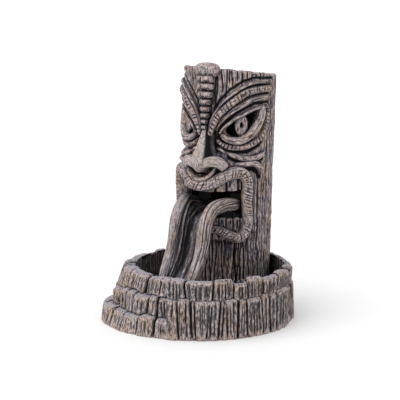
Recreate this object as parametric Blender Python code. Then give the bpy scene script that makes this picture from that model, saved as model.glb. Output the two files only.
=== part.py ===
"""Small tabletop waterfall cast in resin: a hollow log with a carved face stands at the back of a basin
with a plank wall, and its tongue is the channel that carries the water down to the pool. A small pump
stands on the basin's floor inside the log.

Metres, +Z up. The basin's round part is centred on the origin, its underside is at Z = 0, and the face
looks along -Y."""

import math

import bmesh
import bpy
from mathutils import Matrix, Vector

MM = 0.001
SIDES = ((-1, "left"), (1, "right"))

# Clearances
SEAT_GAP = 0.4 * MM  # between castings that stand or lie on one another
FIT_GAP = 0.3 * MM  # between pump pieces that seat in one another
OVERCUT = 5 * MM  # a cutter runs past the face it opens by this

# Basin
RIM_RADIUS = 88 * MM  # outside of the upper tier
LEDGE_WIDTH = 3 * MM  # the lower tier stands out from the upper one by this
RIM_WALL = 9 * MM
RIM_HEIGHT = 63 * MM
LEDGE_HEIGHT = 41 * MM
STEP_HEIGHT = 19 * MM
FLOOR = 8 * MM
STEP_REACH = 28 * MM  # how far the lowest step stands out from the lower tier
MID_STEP_REACH = 17 * MM
TOP_STEP_REACH = 5 * MM
PLANK_JOINT = 2.2 * MM  # depth of the open joints between planks
PLANK_UNEVEN = 0.8 * MM  # how far planks stand in or out of the round
TOP_UNEVEN = 1.2 * MM  # how far their ends rise or fall

# Pump casing and what it needs around it
PUMP_WIDTH = 44 * MM
PUMP_HEIGHT = 34 * MM
CASING_DEPTH = 30 * MM
CASING_WALL = 3 * MM
COVER_THICKNESS = 2 * MM
GRILLE_DEPTH = 8 * MM
GRILLE_WALL = 1.5 * MM
GRILLE_TRAVEL = 8 * MM
GLAND_LENGTH = 7 * MM
GLAND_RADIUS = 3.2 * MM
CUP_HEIGHT = 6 * MM
CUP_SPACING = 2 * MM  # between the front and the back cups
CUP_STEM = 1.7 * MM
CUP_GRIP = 2 * MM  # of the cup's stem inside the casing
PUMP_ROOM = 3.5 * MM
INLET_RADIUS = 6.5 * MM
SPOKE_WIDTH = 2 * MM
HUB_FACE = 0.8 * MM
GRILLE_SLOTS = 6

# Impeller and motor
CHAMBER_RADIUS = 12 * MM
CHAMBER_DEPTH = 11 * MM
ROTOR_RADIUS = 6 * MM
SLEEVE_WALL = 2 * MM  # of the casing round the rotor's well
MOTOR_SETBACK = 2 * MM  # from the pocket's front to the stator
RUNNING_GAP = 0.6 * MM
SHAFT_RADIUS = 1 * MM
BUSHING_WALL = 1 * MM
BUSHING_LENGTH = 2.6 * MM
IMPELLER_DISC = 1.5 * MM
VANE_COUNT = 5
VANE_THICKNESS = 1.2 * MM
CORE_LIMB = 5 * MM
COIL_THICKNESS = 1.2 * MM
POTTING_THICKNESS = 3.2 * MM
KNOB_RADIUS = 5 * MM
KNOB_THICKNESS = 3 * MM
KNOB_STEM = 2 * MM
STEM_LENGTH = 4 * MM

# Water path
TUBE_BORE = 9 * MM
TUBE_WALL = 1.5 * MM
TUBE_SIDES = 24
TUBE_LEAN = 4 * MM  # the hose's upper end stands this far behind its lower one
NOZZLE_HEIGHT = 7 * MM
NOZZLE_FLANGE = 1.5 * MM
NOZZLE_WALL = 1.4 * MM
SEAL_SEAT = 2 * MM
RING_THICKNESS = 1.4 * MM
SPIGOT_LENGTH = 6 * MM
SPIGOT_WALL = 1.5 * MM
TRAY_WALL = 2 * MM
LIP_REACH = 5 * MM
LUG_OVERLAP = 4 * MM  # of the tray on the lugs that carry it
LUG_WIDTH = 14 * MM
LUG_HEIGHT = 4 * MM
TRAY_WIDTH = 56 * MM
TRAY_DEPTH = 34 * MM
TRAY_HEIGHT = 26 * MM
TRAY_SINK = 9 * MM  # of the tray's base below the mouth's sill

# Log
LOG_WALL = 5.5 * MM
LOG_TAPER = 6.2 * MM  # the top is this much wider in radius than the foot
LOG_HEIGHT = 258 * MM
TOP_SLOPE = 0.05  # the top falls this much for each metre towards the face's left
ROOF = 12 * MM
RIBS = 48  # sides of the log
ARCH_ANGLE = 50  # degrees from the middle one to the outer water arches
ARCH_RADIUS = 6 * MM
NOTCH_WIDTH = 10 * MM
NOTCH_HEIGHT = 11 * MM

# Face: angles are degrees around the log from the nose, and drops are measured down from its top
EYE_ANGLE = 44
EYE_DROP = 54 * MM
PUPIL_DEPTH = 4 * MM
CREST_HEIGHT = 6.4 * MM  # of one block in the row on the forehead
UPPER_TEETH = 7
UPPER_TOOTH_PITCH = 12.5
UPPER_TOOTH = (9.6 * MM, 12 * MM)
LOWER_TOOTH = (8 * MM, 13 * MM)
MOUTH_HALF_WIDTH = 35 * MM
MOUTH_TOP = 124 * MM
MOUTH_SILL = 148.8 * MM
LIP_RADIUS = 5.6 * MM
TONGUE_THICKNESS = 13 * MM
TONGUE_HALF_WIDTH = 25.5 * MM
TONGUE_TOE_GAP = 3.5 * MM
TONGUE_TOE_HEIGHT = 45 * MM  # of the toe above the pool's floor
TONGUE_ROOT = 26 * MM  # of the tongue inside the log
CHANNEL_BED = 0.42  # the channel's bed, as a share of the tongue's thickness

# Worked out from the sizes above
LOWER_RADIUS = RIM_RADIUS + LEDGE_WIDTH
POOL_RADIUS = RIM_RADIUS - RIM_WALL
PUMP_DEPTH = CASING_DEPTH + COVER_THICKNESS + GRILLE_DEPTH
CAVITY_RADIUS = math.hypot(PUMP_WIDTH / 2, PUMP_DEPTH / 2 + GRILLE_TRAVEL) + PUMP_ROOM
FOOT_RADIUS = CAVITY_RADIUS + LOG_WALL
FOOT_BACK = PUMP_DEPTH / 2 + GLAND_LENGTH + PUMP_ROOM + LOG_WALL
LOG_Y = POOL_RADIUS - SEAT_GAP - FOOT_BACK
LOG_BASE = FLOOR + SEAT_GAP
LOG_TOP = LOG_BASE + LOG_HEIGHT
PUMP_BASE = FLOOR + SEAT_GAP + CUP_HEIGHT
PUMP_TOP = PUMP_BASE + PUMP_HEIGHT
SHAFT_Z = PUMP_BASE + PUMP_HEIGHT / 2
CASING_FRONT = LOG_Y - PUMP_DEPTH / 2 + GRILLE_DEPTH + COVER_THICKNESS
CASING_BACK = CASING_FRONT + CASING_DEPTH
CUP_RADIUS = (CASING_DEPTH - CUP_SPACING) / 4  # two cups fill the casing's depth
WELL_RADIUS = ROTOR_RADIUS + RUNNING_GAP
MOTOR_ROOM = CASING_DEPTH - CHAMBER_DEPTH - CASING_WALL - MOTOR_SETBACK - POTTING_THICKNESS
MOTOR_LENGTH = MOTOR_ROOM - COIL_THICKNESS - 2 * FIT_GAP
WELL_BACK = CASING_FRONT + CHAMBER_DEPTH + MOTOR_LENGTH + BUSHING_LENGTH + 2 * RUNNING_GAP
NOZZLE_Y = CASING_FRONT + CHAMBER_DEPTH / 2
PORT_RADIUS = TUBE_BORE / 2 - FIT_GAP
SILL_Z = LOG_TOP - MOUTH_SILL
TRAY_FRONT = LOG_Y - TRAY_DEPTH / 2
TRAY_BASE = SILL_Z - TRAY_SINK


def clear_scene():
    for obj in list(bpy.data.objects):
        bpy.data.objects.remove(obj, do_unlink=True)


def material(name, colour, roughness, metallic=0.0):
    made = bpy.data.materials.new(name)
    made.use_nodes = True
    shader = made.node_tree.nodes["Principled BSDF"]
    shader.inputs["Base Color"].default_value = (*colour, 1)
    shader.inputs["Roughness"].default_value = roughness
    shader.inputs["Metallic"].default_value = metallic
    return made


def object_from(name, mesh_data, finish=None):
    obj = bpy.data.objects.new(name, mesh_data)
    bpy.context.collection.objects.link(obj)
    if finish:
        obj.data.materials.append(finish)
    return obj


def from_bmesh(name, work, finish=None, smooth=False):
    bmesh.ops.recalc_face_normals(work, faces=work.faces)
    data = bpy.data.meshes.new(name)
    work.to_mesh(data)
    work.free()
    if smooth:
        data.shade_smooth()
        data.set_sharp_from_angle(angle=math.radians(40))
    return object_from(name, data, finish)


def as_tool(obj):
    """A solid that only shapes another one."""
    obj.hide_render = True
    obj.display_type = "WIRE"
    return obj


def boolean(target, tool, operation):
    step = target.modifiers.new(operation.title(), "BOOLEAN")
    step.operation = operation
    step.solver = "EXACT"
    step.object = as_tool(tool)


def cut(target, tool):
    boolean(target, tool, "DIFFERENCE")


def add(target, tool):
    boolean(target, tool, "UNION")


def bevelled(obj, width, segments=1):
    step = obj.modifiers.new("Bevel", "BEVEL")
    step.width = width
    step.segments = segments
    step.limit_method = "ANGLE"
    return obj


def box(name, low, high, finish=None):
    work = bmesh.new()
    bmesh.ops.create_cube(work, size=1)
    size = Vector(high) - Vector(low)
    centre = (Vector(high) + Vector(low)) / 2
    bmesh.ops.scale(work, vec=size, verts=work.verts)
    bmesh.ops.translate(work, vec=centre, verts=work.verts)
    return from_bmesh(name, work, finish)


def turning(axis):
    """Rotation that takes +Z to the named axis."""
    turns = {
        "X": Matrix.Rotation(math.pi / 2, 4, "Y"),
        "Y": Matrix.Rotation(-math.pi / 2, 4, "X"),
        "Z": Matrix.Identity(4),
    }
    return turns[axis]


def rod(name, centre, axis, radius, low, high, finish=None, sides=32, top_radius=None):
    """Cylinder or cone from low to high along the axis, measured from the centre."""
    work = bmesh.new()
    bmesh.ops.create_cone(
        work,
        cap_ends=True,
        segments=sides,
        radius1=radius,
        radius2=radius if top_radius is None else top_radius,
        depth=high - low,
    )
    bmesh.ops.translate(work, vec=(0, 0, (low + high) / 2), verts=work.verts)
    bmesh.ops.transform(work, matrix=turning(axis), verts=work.verts)
    bmesh.ops.translate(work, vec=centre, verts=work.verts)
    return from_bmesh(name, work, finish, smooth=True)


def turned(name, centre, axis, profile, finish=None, sides=32):
    """Solid of revolution of a closed (radius, height) profile, by bmesh spin."""
    work = bmesh.new()
    corners = [work.verts.new((radius, 0, height)) for radius, height in profile]
    ring = [work.edges.new((a, b)) for a, b in zip(corners, corners[1:] + corners[:1])]
    bmesh.ops.spin(
        work,
        geom=corners + ring,
        cent=(0, 0, 0),
        axis=(0, 0, 1),
        angle=2 * math.pi,
        steps=sides,
        use_merge=True,
    )
    bmesh.ops.remove_doubles(work, verts=work.verts, dist=1e-7)
    bmesh.ops.transform(work, matrix=turning(axis), verts=work.verts)
    bmesh.ops.translate(work, vec=centre, verts=work.verts)
    return from_bmesh(name, work, finish, smooth=True)


def loft(name, rings, finish=None):
    """Closed solid through rings of as many points each, joined in order and capped at both ends."""
    work = bmesh.new()
    corners = [[work.verts.new(point) for point in ring] for ring in rings]
    for first, second in zip(corners, corners[1:]):
        for i, start in enumerate(first):
            work.faces.new((first[i - 1], start, second[i], second[i - 1]))
    work.faces.new(corners[0])
    work.faces.new(corners[-1])
    return from_bmesh(name, work, finish)


# ---------------------------------------------------------------- basin


def between(value, low, high):
    """0 below low, 1 above high, eased between them."""
    share = min(max((value - low) / (high - low), 0), 1)
    return share * share * (3 - 2 * share)


def step_shape(angle):
    """How far round the front-left side the steps stand out, from 0 to 1."""
    return between(angle, -106, -50) * (1 - between(angle, -46, 26))


def plank_ends():
    """Angles of the joints between the planks of the wall, which are not all of one width."""
    widths = (17, 11, 15, 9, 19, 13, 16)
    angles = [-180]
    while angles[-1] < 180 - 20:
        angles.append(angles[-1] + widths[len(angles) % len(widths)])
    return angles


def wall_ring(radius, reach, height, roughness=0.0, flat=True):
    """Level ring of planks: an open V at each joint, and a face of its own radius and height between."""
    ends = plank_ends()
    ring = []
    for i, start in enumerate(ends):
        stop = ends[i + 1] if i + 1 < len(ends) else 180
        uneven = math.sin(2.4 * i + 1)
        joint = PLANK_JOINT if flat else 0
        for share, inset in ((0, joint), (0.08, 0), (0.5, 0), (0.92, 0)):
            angle = start + (stop - start) * share
            out = radius + reach * step_shape(angle) - inset
            if flat:
                out += PLANK_UNEVEN * uneven
            turn = math.radians(angle)
            rise = roughness * math.sin(3.7 * i + 2)
            ring.append((out * math.sin(turn), -out * math.cos(turn), height + rise))
    return ring


def make_basin(finish):
    """Plank wall in two tiers, steps on the front left, and the round pool inside."""
    under = 0.6 * MM  # each tread rises by this from its edge to the next riser
    return loft(
        "basin",
        [
            wall_ring(LOWER_RADIUS, STEP_REACH, 0),
            wall_ring(LOWER_RADIUS, STEP_REACH, STEP_HEIGHT, TOP_UNEVEN / 2),
            wall_ring(LOWER_RADIUS, MID_STEP_REACH, STEP_HEIGHT + under, TOP_UNEVEN / 2),
            wall_ring(LOWER_RADIUS, MID_STEP_REACH, LEDGE_HEIGHT, TOP_UNEVEN / 2),
            wall_ring(RIM_RADIUS, TOP_STEP_REACH, LEDGE_HEIGHT + under, TOP_UNEVEN / 2),
            wall_ring(RIM_RADIUS, TOP_STEP_REACH, RIM_HEIGHT - TOP_UNEVEN, TOP_UNEVEN),
            wall_ring(POOL_RADIUS, 0, RIM_HEIGHT - TOP_UNEVEN, TOP_UNEVEN, flat=False),
            wall_ring(POOL_RADIUS, 0, FLOOR, flat=False),
        ],
        finish,
    )


# ---------------------------------------------------------------- log and face


def log_radius(height):
    share = (height - LOG_BASE) / LOG_HEIGHT
    return FOOT_RADIUS + LOG_TAPER * share


def face_point(angle, drop, lift=0.0):
    """Point on the log: degrees around from the nose, metres below the top, metres off the bark."""
    height = LOG_TOP - drop
    radius = log_radius(height) + lift
    turn = math.radians(angle)
    return Vector((radius * math.sin(turn), LOG_Y - radius * math.cos(turn), height))


def strand(name, points, thickness, closed=False, resolution=3):
    """Round strip laid on the log through (degrees, millimetres below the top, lift, share of thickness)."""
    data = bpy.data.curves.new(name + "_curve", "CURVE")
    data.dimensions = "3D"
    data.resolution_u = resolution
    data.render_resolution_u = resolution
    data.bevel_depth = thickness
    data.bevel_resolution = 1
    data.use_fill_caps = not closed
    spline = data.splines.new("BEZIER")
    spline.bezier_points.add(len(points) - 1)
    for knot, (angle, drop, lift, share) in zip(spline.bezier_points, points):
        knot.co = face_point(angle, drop * MM, lift * MM)
        knot.radius = share
        knot.handle_left_type = "AUTO"
        knot.handle_right_type = "AUTO"
    spline.use_cyclic_u = closed
    source = object_from(name + "_source", data)
    bpy.context.view_layer.update()
    depsgraph = bpy.context.evaluated_depsgraph_get()
    solid = bpy.data.meshes.new_from_object(source.evaluated_get(depsgraph))
    bpy.data.objects.remove(source, do_unlink=True)
    work = bmesh.new()
    work.from_mesh(solid)
    bpy.data.meshes.remove(solid)
    bmesh.ops.remove_doubles(work, verts=work.verts, dist=1e-6)
    return from_bmesh(name, work)


def block(name, angle, drop, size, low, high):
    """Bevelled block of a (width, height) size standing on the bark, square to the log there."""
    width, height = size
    work = bmesh.new()
    bmesh.ops.create_cube(work, size=1)
    bmesh.ops.scale(work, vec=(width, high - low, height), verts=work.verts)
    bmesh.ops.bevel(
        work,
        geom=work.edges,
        offset=min(width, height, high - low) * 0.22,
        segments=1,
        affect="EDGES",
    )
    bmesh.ops.rotate(work, matrix=Matrix.Rotation(math.radians(angle), 3, "Z"), verts=work.verts)
    bmesh.ops.translate(work, vec=face_point(angle, drop, (low + high) / 2), verts=work.verts)
    return from_bmesh(name, work)


def almond(name, side, centre, outline, low, high):
    """Prism with an (angle, drop) outline, square to the log at the centre angle."""
    turn = math.radians(side * centre)
    across = Vector((math.cos(turn), math.sin(turn), 0))
    outward = Vector((math.sin(turn), -math.cos(turn), 0))
    rings = []
    for lift in (low, high):
        ring = []
        for angle, drop in outline:
            spot = face_point(side * angle, drop * MM)
            spread = (spot - Vector((0, LOG_Y, 0))).dot(across)
            reach = log_radius(spot.z) + lift
            ring.append(Vector((0, LOG_Y, spot.z)) + across * spread + outward * reach)
        rings.append(ring)
    return loft(name, rings)


def make_log_body(finish):
    """Outside of the log, with its sloping top, hollowed from below."""
    log = rod(
        "totem_shell",
        (0, LOG_Y, 0),
        "Z",
        FOOT_RADIUS,
        LOG_BASE,
        LOG_TOP,
        finish,
        sides=RIBS,
        top_radius=FOOT_RADIUS + LOG_TAPER,
    )
    for vertex in log.data.vertices:
        if vertex.co.z > LOG_TOP - MM:
            vertex.co.z -= TOP_SLOPE * vertex.co.x
    return log


def ring_cutter(name, inner, low, high):
    """Everything outside a circle round the basin's centre, between two heights."""
    outer = inner + FOOT_RADIUS * 2 + RIM_RADIUS
    profile = [(inner, low), (outer, low), (outer, high), (inner, high)]
    return turned(name, (0, 0, 0), "Z", profile, sides=72)


def hollow_log(log):
    """Cavity for the pump and tube, the foot that fits inside the pool, water arches and cable notch."""
    cavity = rod(
        "cavity_cutter",
        (0, LOG_Y, 0),
        "Z",
        CAVITY_RADIUS,
        LOG_BASE - OVERCUT,
        LOG_TOP - ROOF,
        sides=RIBS,
        top_radius=CAVITY_RADIUS + LOG_TAPER,
    )
    foot_top = RIM_HEIGHT + SEAT_GAP
    fitted = POOL_RADIUS - SEAT_GAP
    cut(cavity, ring_cutter("cavity_back_cutter", fitted - LOG_WALL, -OVERCUT, foot_top + LOG_WALL))
    cut(log, cavity)
    cut(log, ring_cutter("foot_cutter", fitted, -OVERCUT, foot_top))
    for i, angle in enumerate((-ARCH_ANGLE, 0, ARCH_ANGLE)):
        outer = -FOOT_RADIUS - OVERCUT
        inner = -CAVITY_RADIUS + OVERCUT
        arch = rod(f"arch_cutter_{i}", (0, 0, 0), "Y", ARCH_RADIUS, outer, inner, sides=16)
        arch.data.transform(Matrix.Rotation(math.radians(angle), 4, "Z"))
        arch.data.transform(Matrix.Translation((0, LOG_Y, LOG_BASE + ARCH_RADIUS - MM)))
        cut(log, arch)
    notch_front = LOG_Y + FOOT_BACK - 2 * LOG_WALL
    notch_back = LOG_Y + FOOT_RADIUS + 2 * OVERCUT
    notch_low = foot_top - 2 * MM
    low = (-NOTCH_WIDTH / 2, notch_front, notch_low)
    high = (NOTCH_WIDTH / 2, notch_back, notch_low + NOTCH_HEIGHT)
    cut(log, box("cable_notch_cutter", low, high))


def mirrored(points, side):
    """The same (angle, drop, lift, share) points on one side of the face or the other."""
    return [(side * angle, drop, lift, share) for angle, drop, lift, share in points]


def carve_strips(log, strips):
    """Adds each (name, thickness, points) strip to both sides of the face."""
    for side, label in SIDES:
        for name, thickness, points in strips:
            add(log, strand(f"{name}_{label}", mirrored(points, side), thickness * MM))


def carve_brows(log):
    """Three strips sweep down from each temple to the bridge of the nose."""
    line = [(80, 8, 0.6, 0.8), (60, 9, 0.8, 1), (44, 14, 1, 1), (29, 23.5, 1, 1), (14, 37, 1, 0.8)]
    brow = [
        (80, 16.5, 0, 0.8),
        (54, 18, 0.8, 1),
        (40, 24, 1.2, 1),
        (27, 33, 1.6, 1),
        (16, 42, 1.6, 0.9),
        (4, 61, 0.6, 0.7),
    ]
    fold = [(80, 26, -0.4, 0.8), (61, 27, 0.2, 1), (45, 32.5, 0.4, 1), (30, 41, 0.2, 1), (15, 53, 0, 0.7)]
    carve_strips(log, (("brow_line", 1.5, line), ("brow", 4.2, brow), ("brow_fold", 2.6, fold)))


def upright_oval(name, side, centre, half_width, depth, half_height, finish=None):
    """Oval plug square to the log at the eye, from its front face inwards."""
    plug = rod(name, (0, 0, 0), "Y", 1, 0, 1, finish, sides=20)
    plug.data.transform(Matrix.Diagonal((half_width, depth, half_height, 1)))
    plug.data.transform(Matrix.Rotation(math.radians(side * EYE_ANGLE), 4, "Z"))
    plug.data.transform(Matrix.Translation(centre))
    return plug


def carve_eyes(log):
    """Almond hole through the wall, its lids, and the ringed disc that stands in it."""
    outline = [
        (74, 39),
        (66, 50),
        (58, 59),
        (48, 65),
        (38, 68),
        (28, 66),
        (24, 60),
        (30, 52),
        (40, 46),
        (52, 41),
        (64, 38),
    ]
    upper = [(80, 36, 0, 0.7), (61, 36.5, 0.4, 1), (47, 41.5, 0.6, 1), (34, 48, 0.6, 1), (20, 57, 0, 0.8)]
    lower = [(77, 39, 0, 0.8), (67, 53.5, 0.4, 1), (55, 65, 0.8, 1), (39, 71, 0.8, 1), (20, 66, 0, 0.8)]
    band = [(76, 66, -0.6, 0.7), (52, 76.5, 0, 1), (32, 77, 0, 1), (13, 70, -0.8, 0.7)]
    carve_strips(log, (("upper_lid", 1.6, upper), ("lower_lid", 3.4, lower), ("eye_band", 2.8, band)))
    for side, label in SIDES:
        opening = almond(f"eye_cutter_{label}", side, EYE_ANGLE, outline, -2 * LOG_WALL, OVERCUT)
        cut(log, opening)
        front = face_point(side * EYE_ANGLE, EYE_DROP)
        disc = upright_oval(f"eye_disc_{label}", side, front, 9 * MM, LOG_WALL - FIT_GAP, 14 * MM)
        add(log, disc)
        front = face_point(side * EYE_ANGLE, EYE_DROP, MM)
        pupil = upright_oval(f"pupil_cutter_{label}", side, front, 2.2 * MM, PUPIL_DEPTH + MM, 3.8 * MM)
        cut(log, pupil)


def carve_nose(log):
    """Planed bridge, blunt tip and two swept wings."""
    sections = (  # millimetres below the top, lift at the crest, half width at the crest and at the bark
        (60, 2.5, 2.5, 5),
        (78, 10, 4, 7.5),
        (88, 18, 6, 10),
        (98, 20.5, 6.5, 10),
        (103, 15, 5, 8),
    )
    rings = []
    for drop, lift, crest, root in sections:
        front = face_point(0, drop * MM, lift * MM)
        back = face_point(0, drop * MM, -3 * MM)
        rings.append(
            [
                (-crest * MM, front.y, front.z),
                (crest * MM, front.y, front.z),
                (root * MM, back.y, back.z),
                (-root * MM, back.y, back.z),
            ]
        )
    add(log, loft("nose", rings))
    wing = [(2, 92, 13, 0.9), (13, 88, 9, 1), (21, 93, 6, 1), (27, 99, 1.5, 0.8)]
    fold = [(2, 117, 9, 0.8), (11, 113, 8, 1), (19, 104, 4, 1), (24, 98, -2, 0.8)]
    carve_strips(log, (("nose_wing", 4.6, wing), ("nose_fold", 3.2, fold)))


def carve_cheeks(log):
    ridge = [(26, 84, -0.5, 0.6), (40, 88, 0.8, 1), (56, 90, 0.8, 1), (78, 87, -0.4, 0.8)]
    leaf = [(44, 96, 0, 0.6), (56, 97, 3, 1), (67, 100, 3.4, 1), (74, 109, 0.5, 0.7)]
    carve_strips(log, (("cheek_ridge", 3, ridge), ("cheek_leaf", 4.6, leaf)))


def carve_crest(log):
    """Knob on the log's top and a row of narrowing blocks down the forehead."""
    knob = rod("crest_knob", (0, 0, 0), "Z", 1, -1, 1, sides=16, top_radius=0.45)
    knob.data.transform(Matrix.Diagonal((13 * MM, 12 * MM, 7.5 * MM, 1)))
    knob.data.transform(Matrix.Translation(face_point(0, -1.5 * MM, -7 * MM)))
    add(log, knob)
    rows = ((8, 8), (16, 7.5), (24.5, 6.8), (32, 5.2), (38.5, 4.5), (45, 4), (51, 3.4), (57, 3.2))
    for i, (drop, half_width) in enumerate(rows):
        size = (2 * half_width * MM, CREST_HEIGHT)
        add(log, block(f"crest_block_{i}", 0, drop * MM, size, -3 * MM, 4.6 * MM))


def carve_mouth(log):
    """Thick lips in a ring, two rows of teeth and the opening that the tongue comes out of."""
    half = [
        (0, 116, 5, 0.95),
        (14, 112, 6, 1),
        (27, 104.5, 5.4, 1.1),
        (40, 103.5, 5, 1.1),
        (49, 112, 4.8, 1),
        (51, 133, 4.6, 0.95),
        (50.5, 158, 4.4, 0.95),
        (41, 168, 4, 1),
        (27, 163.5, 3.6, 0.9),
        (12, 158, 2.6, 0.8),
    ]
    ring = half + [(0, 157, 2.4, 0.8)] + mirrored(half[:0:-1], -1)
    add(log, strand("lips", ring, LIP_RADIUS, closed=True))
    for i in range(UPPER_TEETH):
        angle = UPPER_TOOTH_PITCH * (i - (UPPER_TEETH - 1) / 2)
        add(log, block(f"upper_tooth_{i}", angle, 117.6 * MM, UPPER_TOOTH, -3 * MM, 3 * MM))
    for i, angle in enumerate((-43, -33, -22, 22, 33, 43)):
        add(log, block(f"lower_tooth_{i}", angle, 157 * MM, LOWER_TOOTH, -3 * MM, 2 * MM))
    front = LOG_Y - 2 * FOOT_RADIUS
    back = LOG_Y - CAVITY_RADIUS / 2
    low = (-MOUTH_HALF_WIDTH, front, SILL_Z)
    high = (MOUTH_HALF_WIDTH, back, LOG_TOP - MOUTH_TOP)
    cut(log, box("mouth_cutter", low, high))


def make_totem(finish):
    log = make_log_body(finish)
    carve_brows(log)
    carve_nose(log)
    carve_cheeks(log)
    carve_crest(log)
    carve_mouth(log)
    carve_eyes(log)
    hollow_log(log)
    lug_top = TRAY_BASE - SEAT_GAP
    for side, label in SIDES:
        inner = side * (TRAY_WIDTH / 2 - LUG_OVERLAP)
        outer = side * (CAVITY_RADIUS + LOG_WALL / 2)
        low = (min(inner, outer), LOG_Y - LUG_WIDTH / 2, lug_top - LUG_HEIGHT)
        high = (max(inner, outer), LOG_Y + LUG_WIDTH / 2, lug_top)
        add(log, box(f"tray_lug_{label}", low, high))
    return log


# ---------------------------------------------------------------- tongue


def tongue_path():
    """(y, z, half width) of the middle of the tongue's thickness, from its root to its toe."""
    mouth = LOG_Y - log_radius(SILL_Z)
    level = SILL_Z + SEAT_GAP + TONGUE_THICKNESS / 2
    toe = -(POOL_RADIUS - TONGUE_TOE_GAP - TONGUE_THICKNESS / 2)
    toe_z = FLOOR + TONGUE_TOE_HEIGHT
    inside = MOUTH_HALF_WIDTH - SEAT_GAP - 0.6 * MM
    wide = TONGUE_HALF_WIDTH
    reach = mouth - toe
    drop = level - toe_z
    return [
        (mouth + TONGUE_ROOT, level, inside * 0.86),
        (mouth + 9 * MM, level, inside),
        (mouth, level + 0.6 * MM, inside * 0.99),
        (mouth - 0.17 * reach, level + 1.5 * MM, wide * 1.14),
        (mouth - 0.35 * reach, level - 0.02 * drop, wide * 1.02),
        (mouth - 0.47 * reach, level - 0.12 * drop, wide),
        (mouth - 0.535 * reach, level - 0.27 * drop, wide),
        (mouth - 0.60 * reach, level - 0.49 * drop, wide),
        (mouth - 0.70 * reach, level - 0.71 * drop, wide),
        (mouth - 0.85 * reach, level - 0.90 * drop, wide * 0.97),
        (toe, toe_z, wide * 0.92),
    ]


def tongue_section(half_width):
    """Open channel with two rolled edges, as (across, up) points; up is 0 on the underside."""
    roll = TONGUE_THICKNESS
    right = [
        (half_width - 0.45 * roll, 0),
        (half_width - 0.1 * roll, 0.18 * roll),
        (half_width, 0.5 * roll),
        (half_width - 0.12 * roll, 0.84 * roll),
        (half_width - 0.45 * roll, roll),
        (half_width - 0.8 * roll, 0.86 * roll),
        (half_width - 1.0 * roll, 0.6 * roll),
        (half_width - 1.25 * roll, 0.46 * roll),
    ]
    left = [(-across, up) for across, up in reversed(right)]
    return right + [(0, CHANNEL_BED * roll)] + left + [(0, 0)]


def make_tongue(finish):
    path = tongue_path()
    rings = []
    for i, (y, z, half_width) in enumerate(path):
        before = path[max(i - 1, 0)]
        after = path[min(i + 1, len(path) - 1)]
        along = Vector((0, after[0] - before[0], after[1] - before[1])).normalized()
        up = Vector((0, along.z, -along.y))
        centre = Vector((0, y, z))
        rings.append(
            [
                centre + Vector((across, 0, 0)) + up * (height - TONGUE_THICKNESS / 2)
                for across, height in tongue_section(half_width)
            ]
        )
    return loft("tongue_ramp", rings, finish)


# ---------------------------------------------------------------- water path inside the log


def make_tray(finish):
    """Tank behind the mouth: the tube fills it and it spills over a lip onto the tongue's root."""
    back = TRAY_FRONT + TRAY_DEPTH
    half = TRAY_WIDTH / 2
    top = TRAY_BASE + TRAY_HEIGHT
    root_end = tongue_path()[0][0]
    front = root_end + SEAT_GAP + MM
    tray = box("spout_tray", (-half, front, TRAY_BASE), (half, back, top), finish)
    lip_half = half / 2
    lip_front = front - LIP_REACH
    lip_base = SILL_Z + SEAT_GAP + CHANNEL_BED * TONGUE_THICKNESS + MM
    lip = box("tray_lip", (-lip_half, lip_front, lip_base), (lip_half, front + MM, lip_base + TRAY_WALL))
    add(tray, lip)
    inside_low = (-half + TRAY_WALL, front + TRAY_WALL, TRAY_BASE + TRAY_WALL)
    inside_high = (half - TRAY_WALL, back - TRAY_WALL, top + OVERCUT)
    cut(tray, box("tray_inside_cutter", inside_low, inside_high))
    weir_low = (-lip_half + TRAY_WALL, lip_front - OVERCUT, lip_base + TRAY_WALL / 2)
    weir_high = (lip_half - TRAY_WALL, front + 2 * TRAY_WALL, top + OVERCUT)
    cut(tray, box("tray_weir_cutter", weir_low, weir_high))
    spigot = TUBE_BORE / 2 - FIT_GAP
    centre = (0, NOZZLE_Y + TUBE_LEAN, TRAY_BASE)
    add(tray, rod("tray_spigot", centre, "Z", spigot, -SPIGOT_LENGTH, TRAY_WALL / 2))
    low = -SPIGOT_LENGTH - OVERCUT
    bore = rod("tray_spigot_cutter", centre, "Z", spigot - SPIGOT_WALL, low, OVERCUT, sides=24)
    cut(tray, bore)
    return tray


def tube_ring(radius, height, low, high):
    """Level circle of the hose, which leans back between low and high to meet the tray's spigot."""
    lean = between(height, low, high) * TUBE_LEAN
    turns = [2 * math.pi * k / TUBE_SIDES for k in range(TUBE_SIDES)]
    return [(radius * math.cos(turn), NOZZLE_Y + lean + radius * math.sin(turn), height) for turn in turns]


def make_tube(finish):
    """Hose from the nozzle, which it slides off when the log is lifted, to the tray's spigot."""
    low = PUMP_TOP + NOZZLE_FLANGE + FIT_GAP
    high = TRAY_BASE - FIT_GAP
    lean_low = PUMP_TOP + NOZZLE_HEIGHT + FIT_GAP
    lean_high = TRAY_BASE - SPIGOT_LENGTH - FIT_GAP
    steps = 5
    leaning = [lean_low + (lean_high - lean_low) * i / steps for i in range(steps + 1)]
    outside = TUBE_BORE / 2 + TUBE_WALL
    outer = [tube_ring(outside, height, lean_low, lean_high) for height in [low, *leaning, high]]
    ends = [low - OVERCUT, *leaning, high + OVERCUT]
    bore = [tube_ring(TUBE_BORE / 2, height, lean_low, lean_high) for height in ends]
    tube = loft("riser_tube", outer, finish)
    cut(tube, loft("tube_bore_cutter", bore))
    return tube


# ---------------------------------------------------------------- pump


def at_shaft(y):
    return (0, y, SHAFT_Z)


def knob_centre():
    return (0, CASING_FRONT + KNOB_RADIUS + 2 * MM, SHAFT_Z + 6 * MM)


def cup_places():
    across = PUMP_WIDTH / 2 - CUP_RADIUS - 0.5 * MM
    front = CASING_FRONT + CUP_RADIUS
    back = CASING_BACK - CUP_RADIUS
    return [(side * across, y) for y in (front, back) for side in (-1, 1)]


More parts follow.
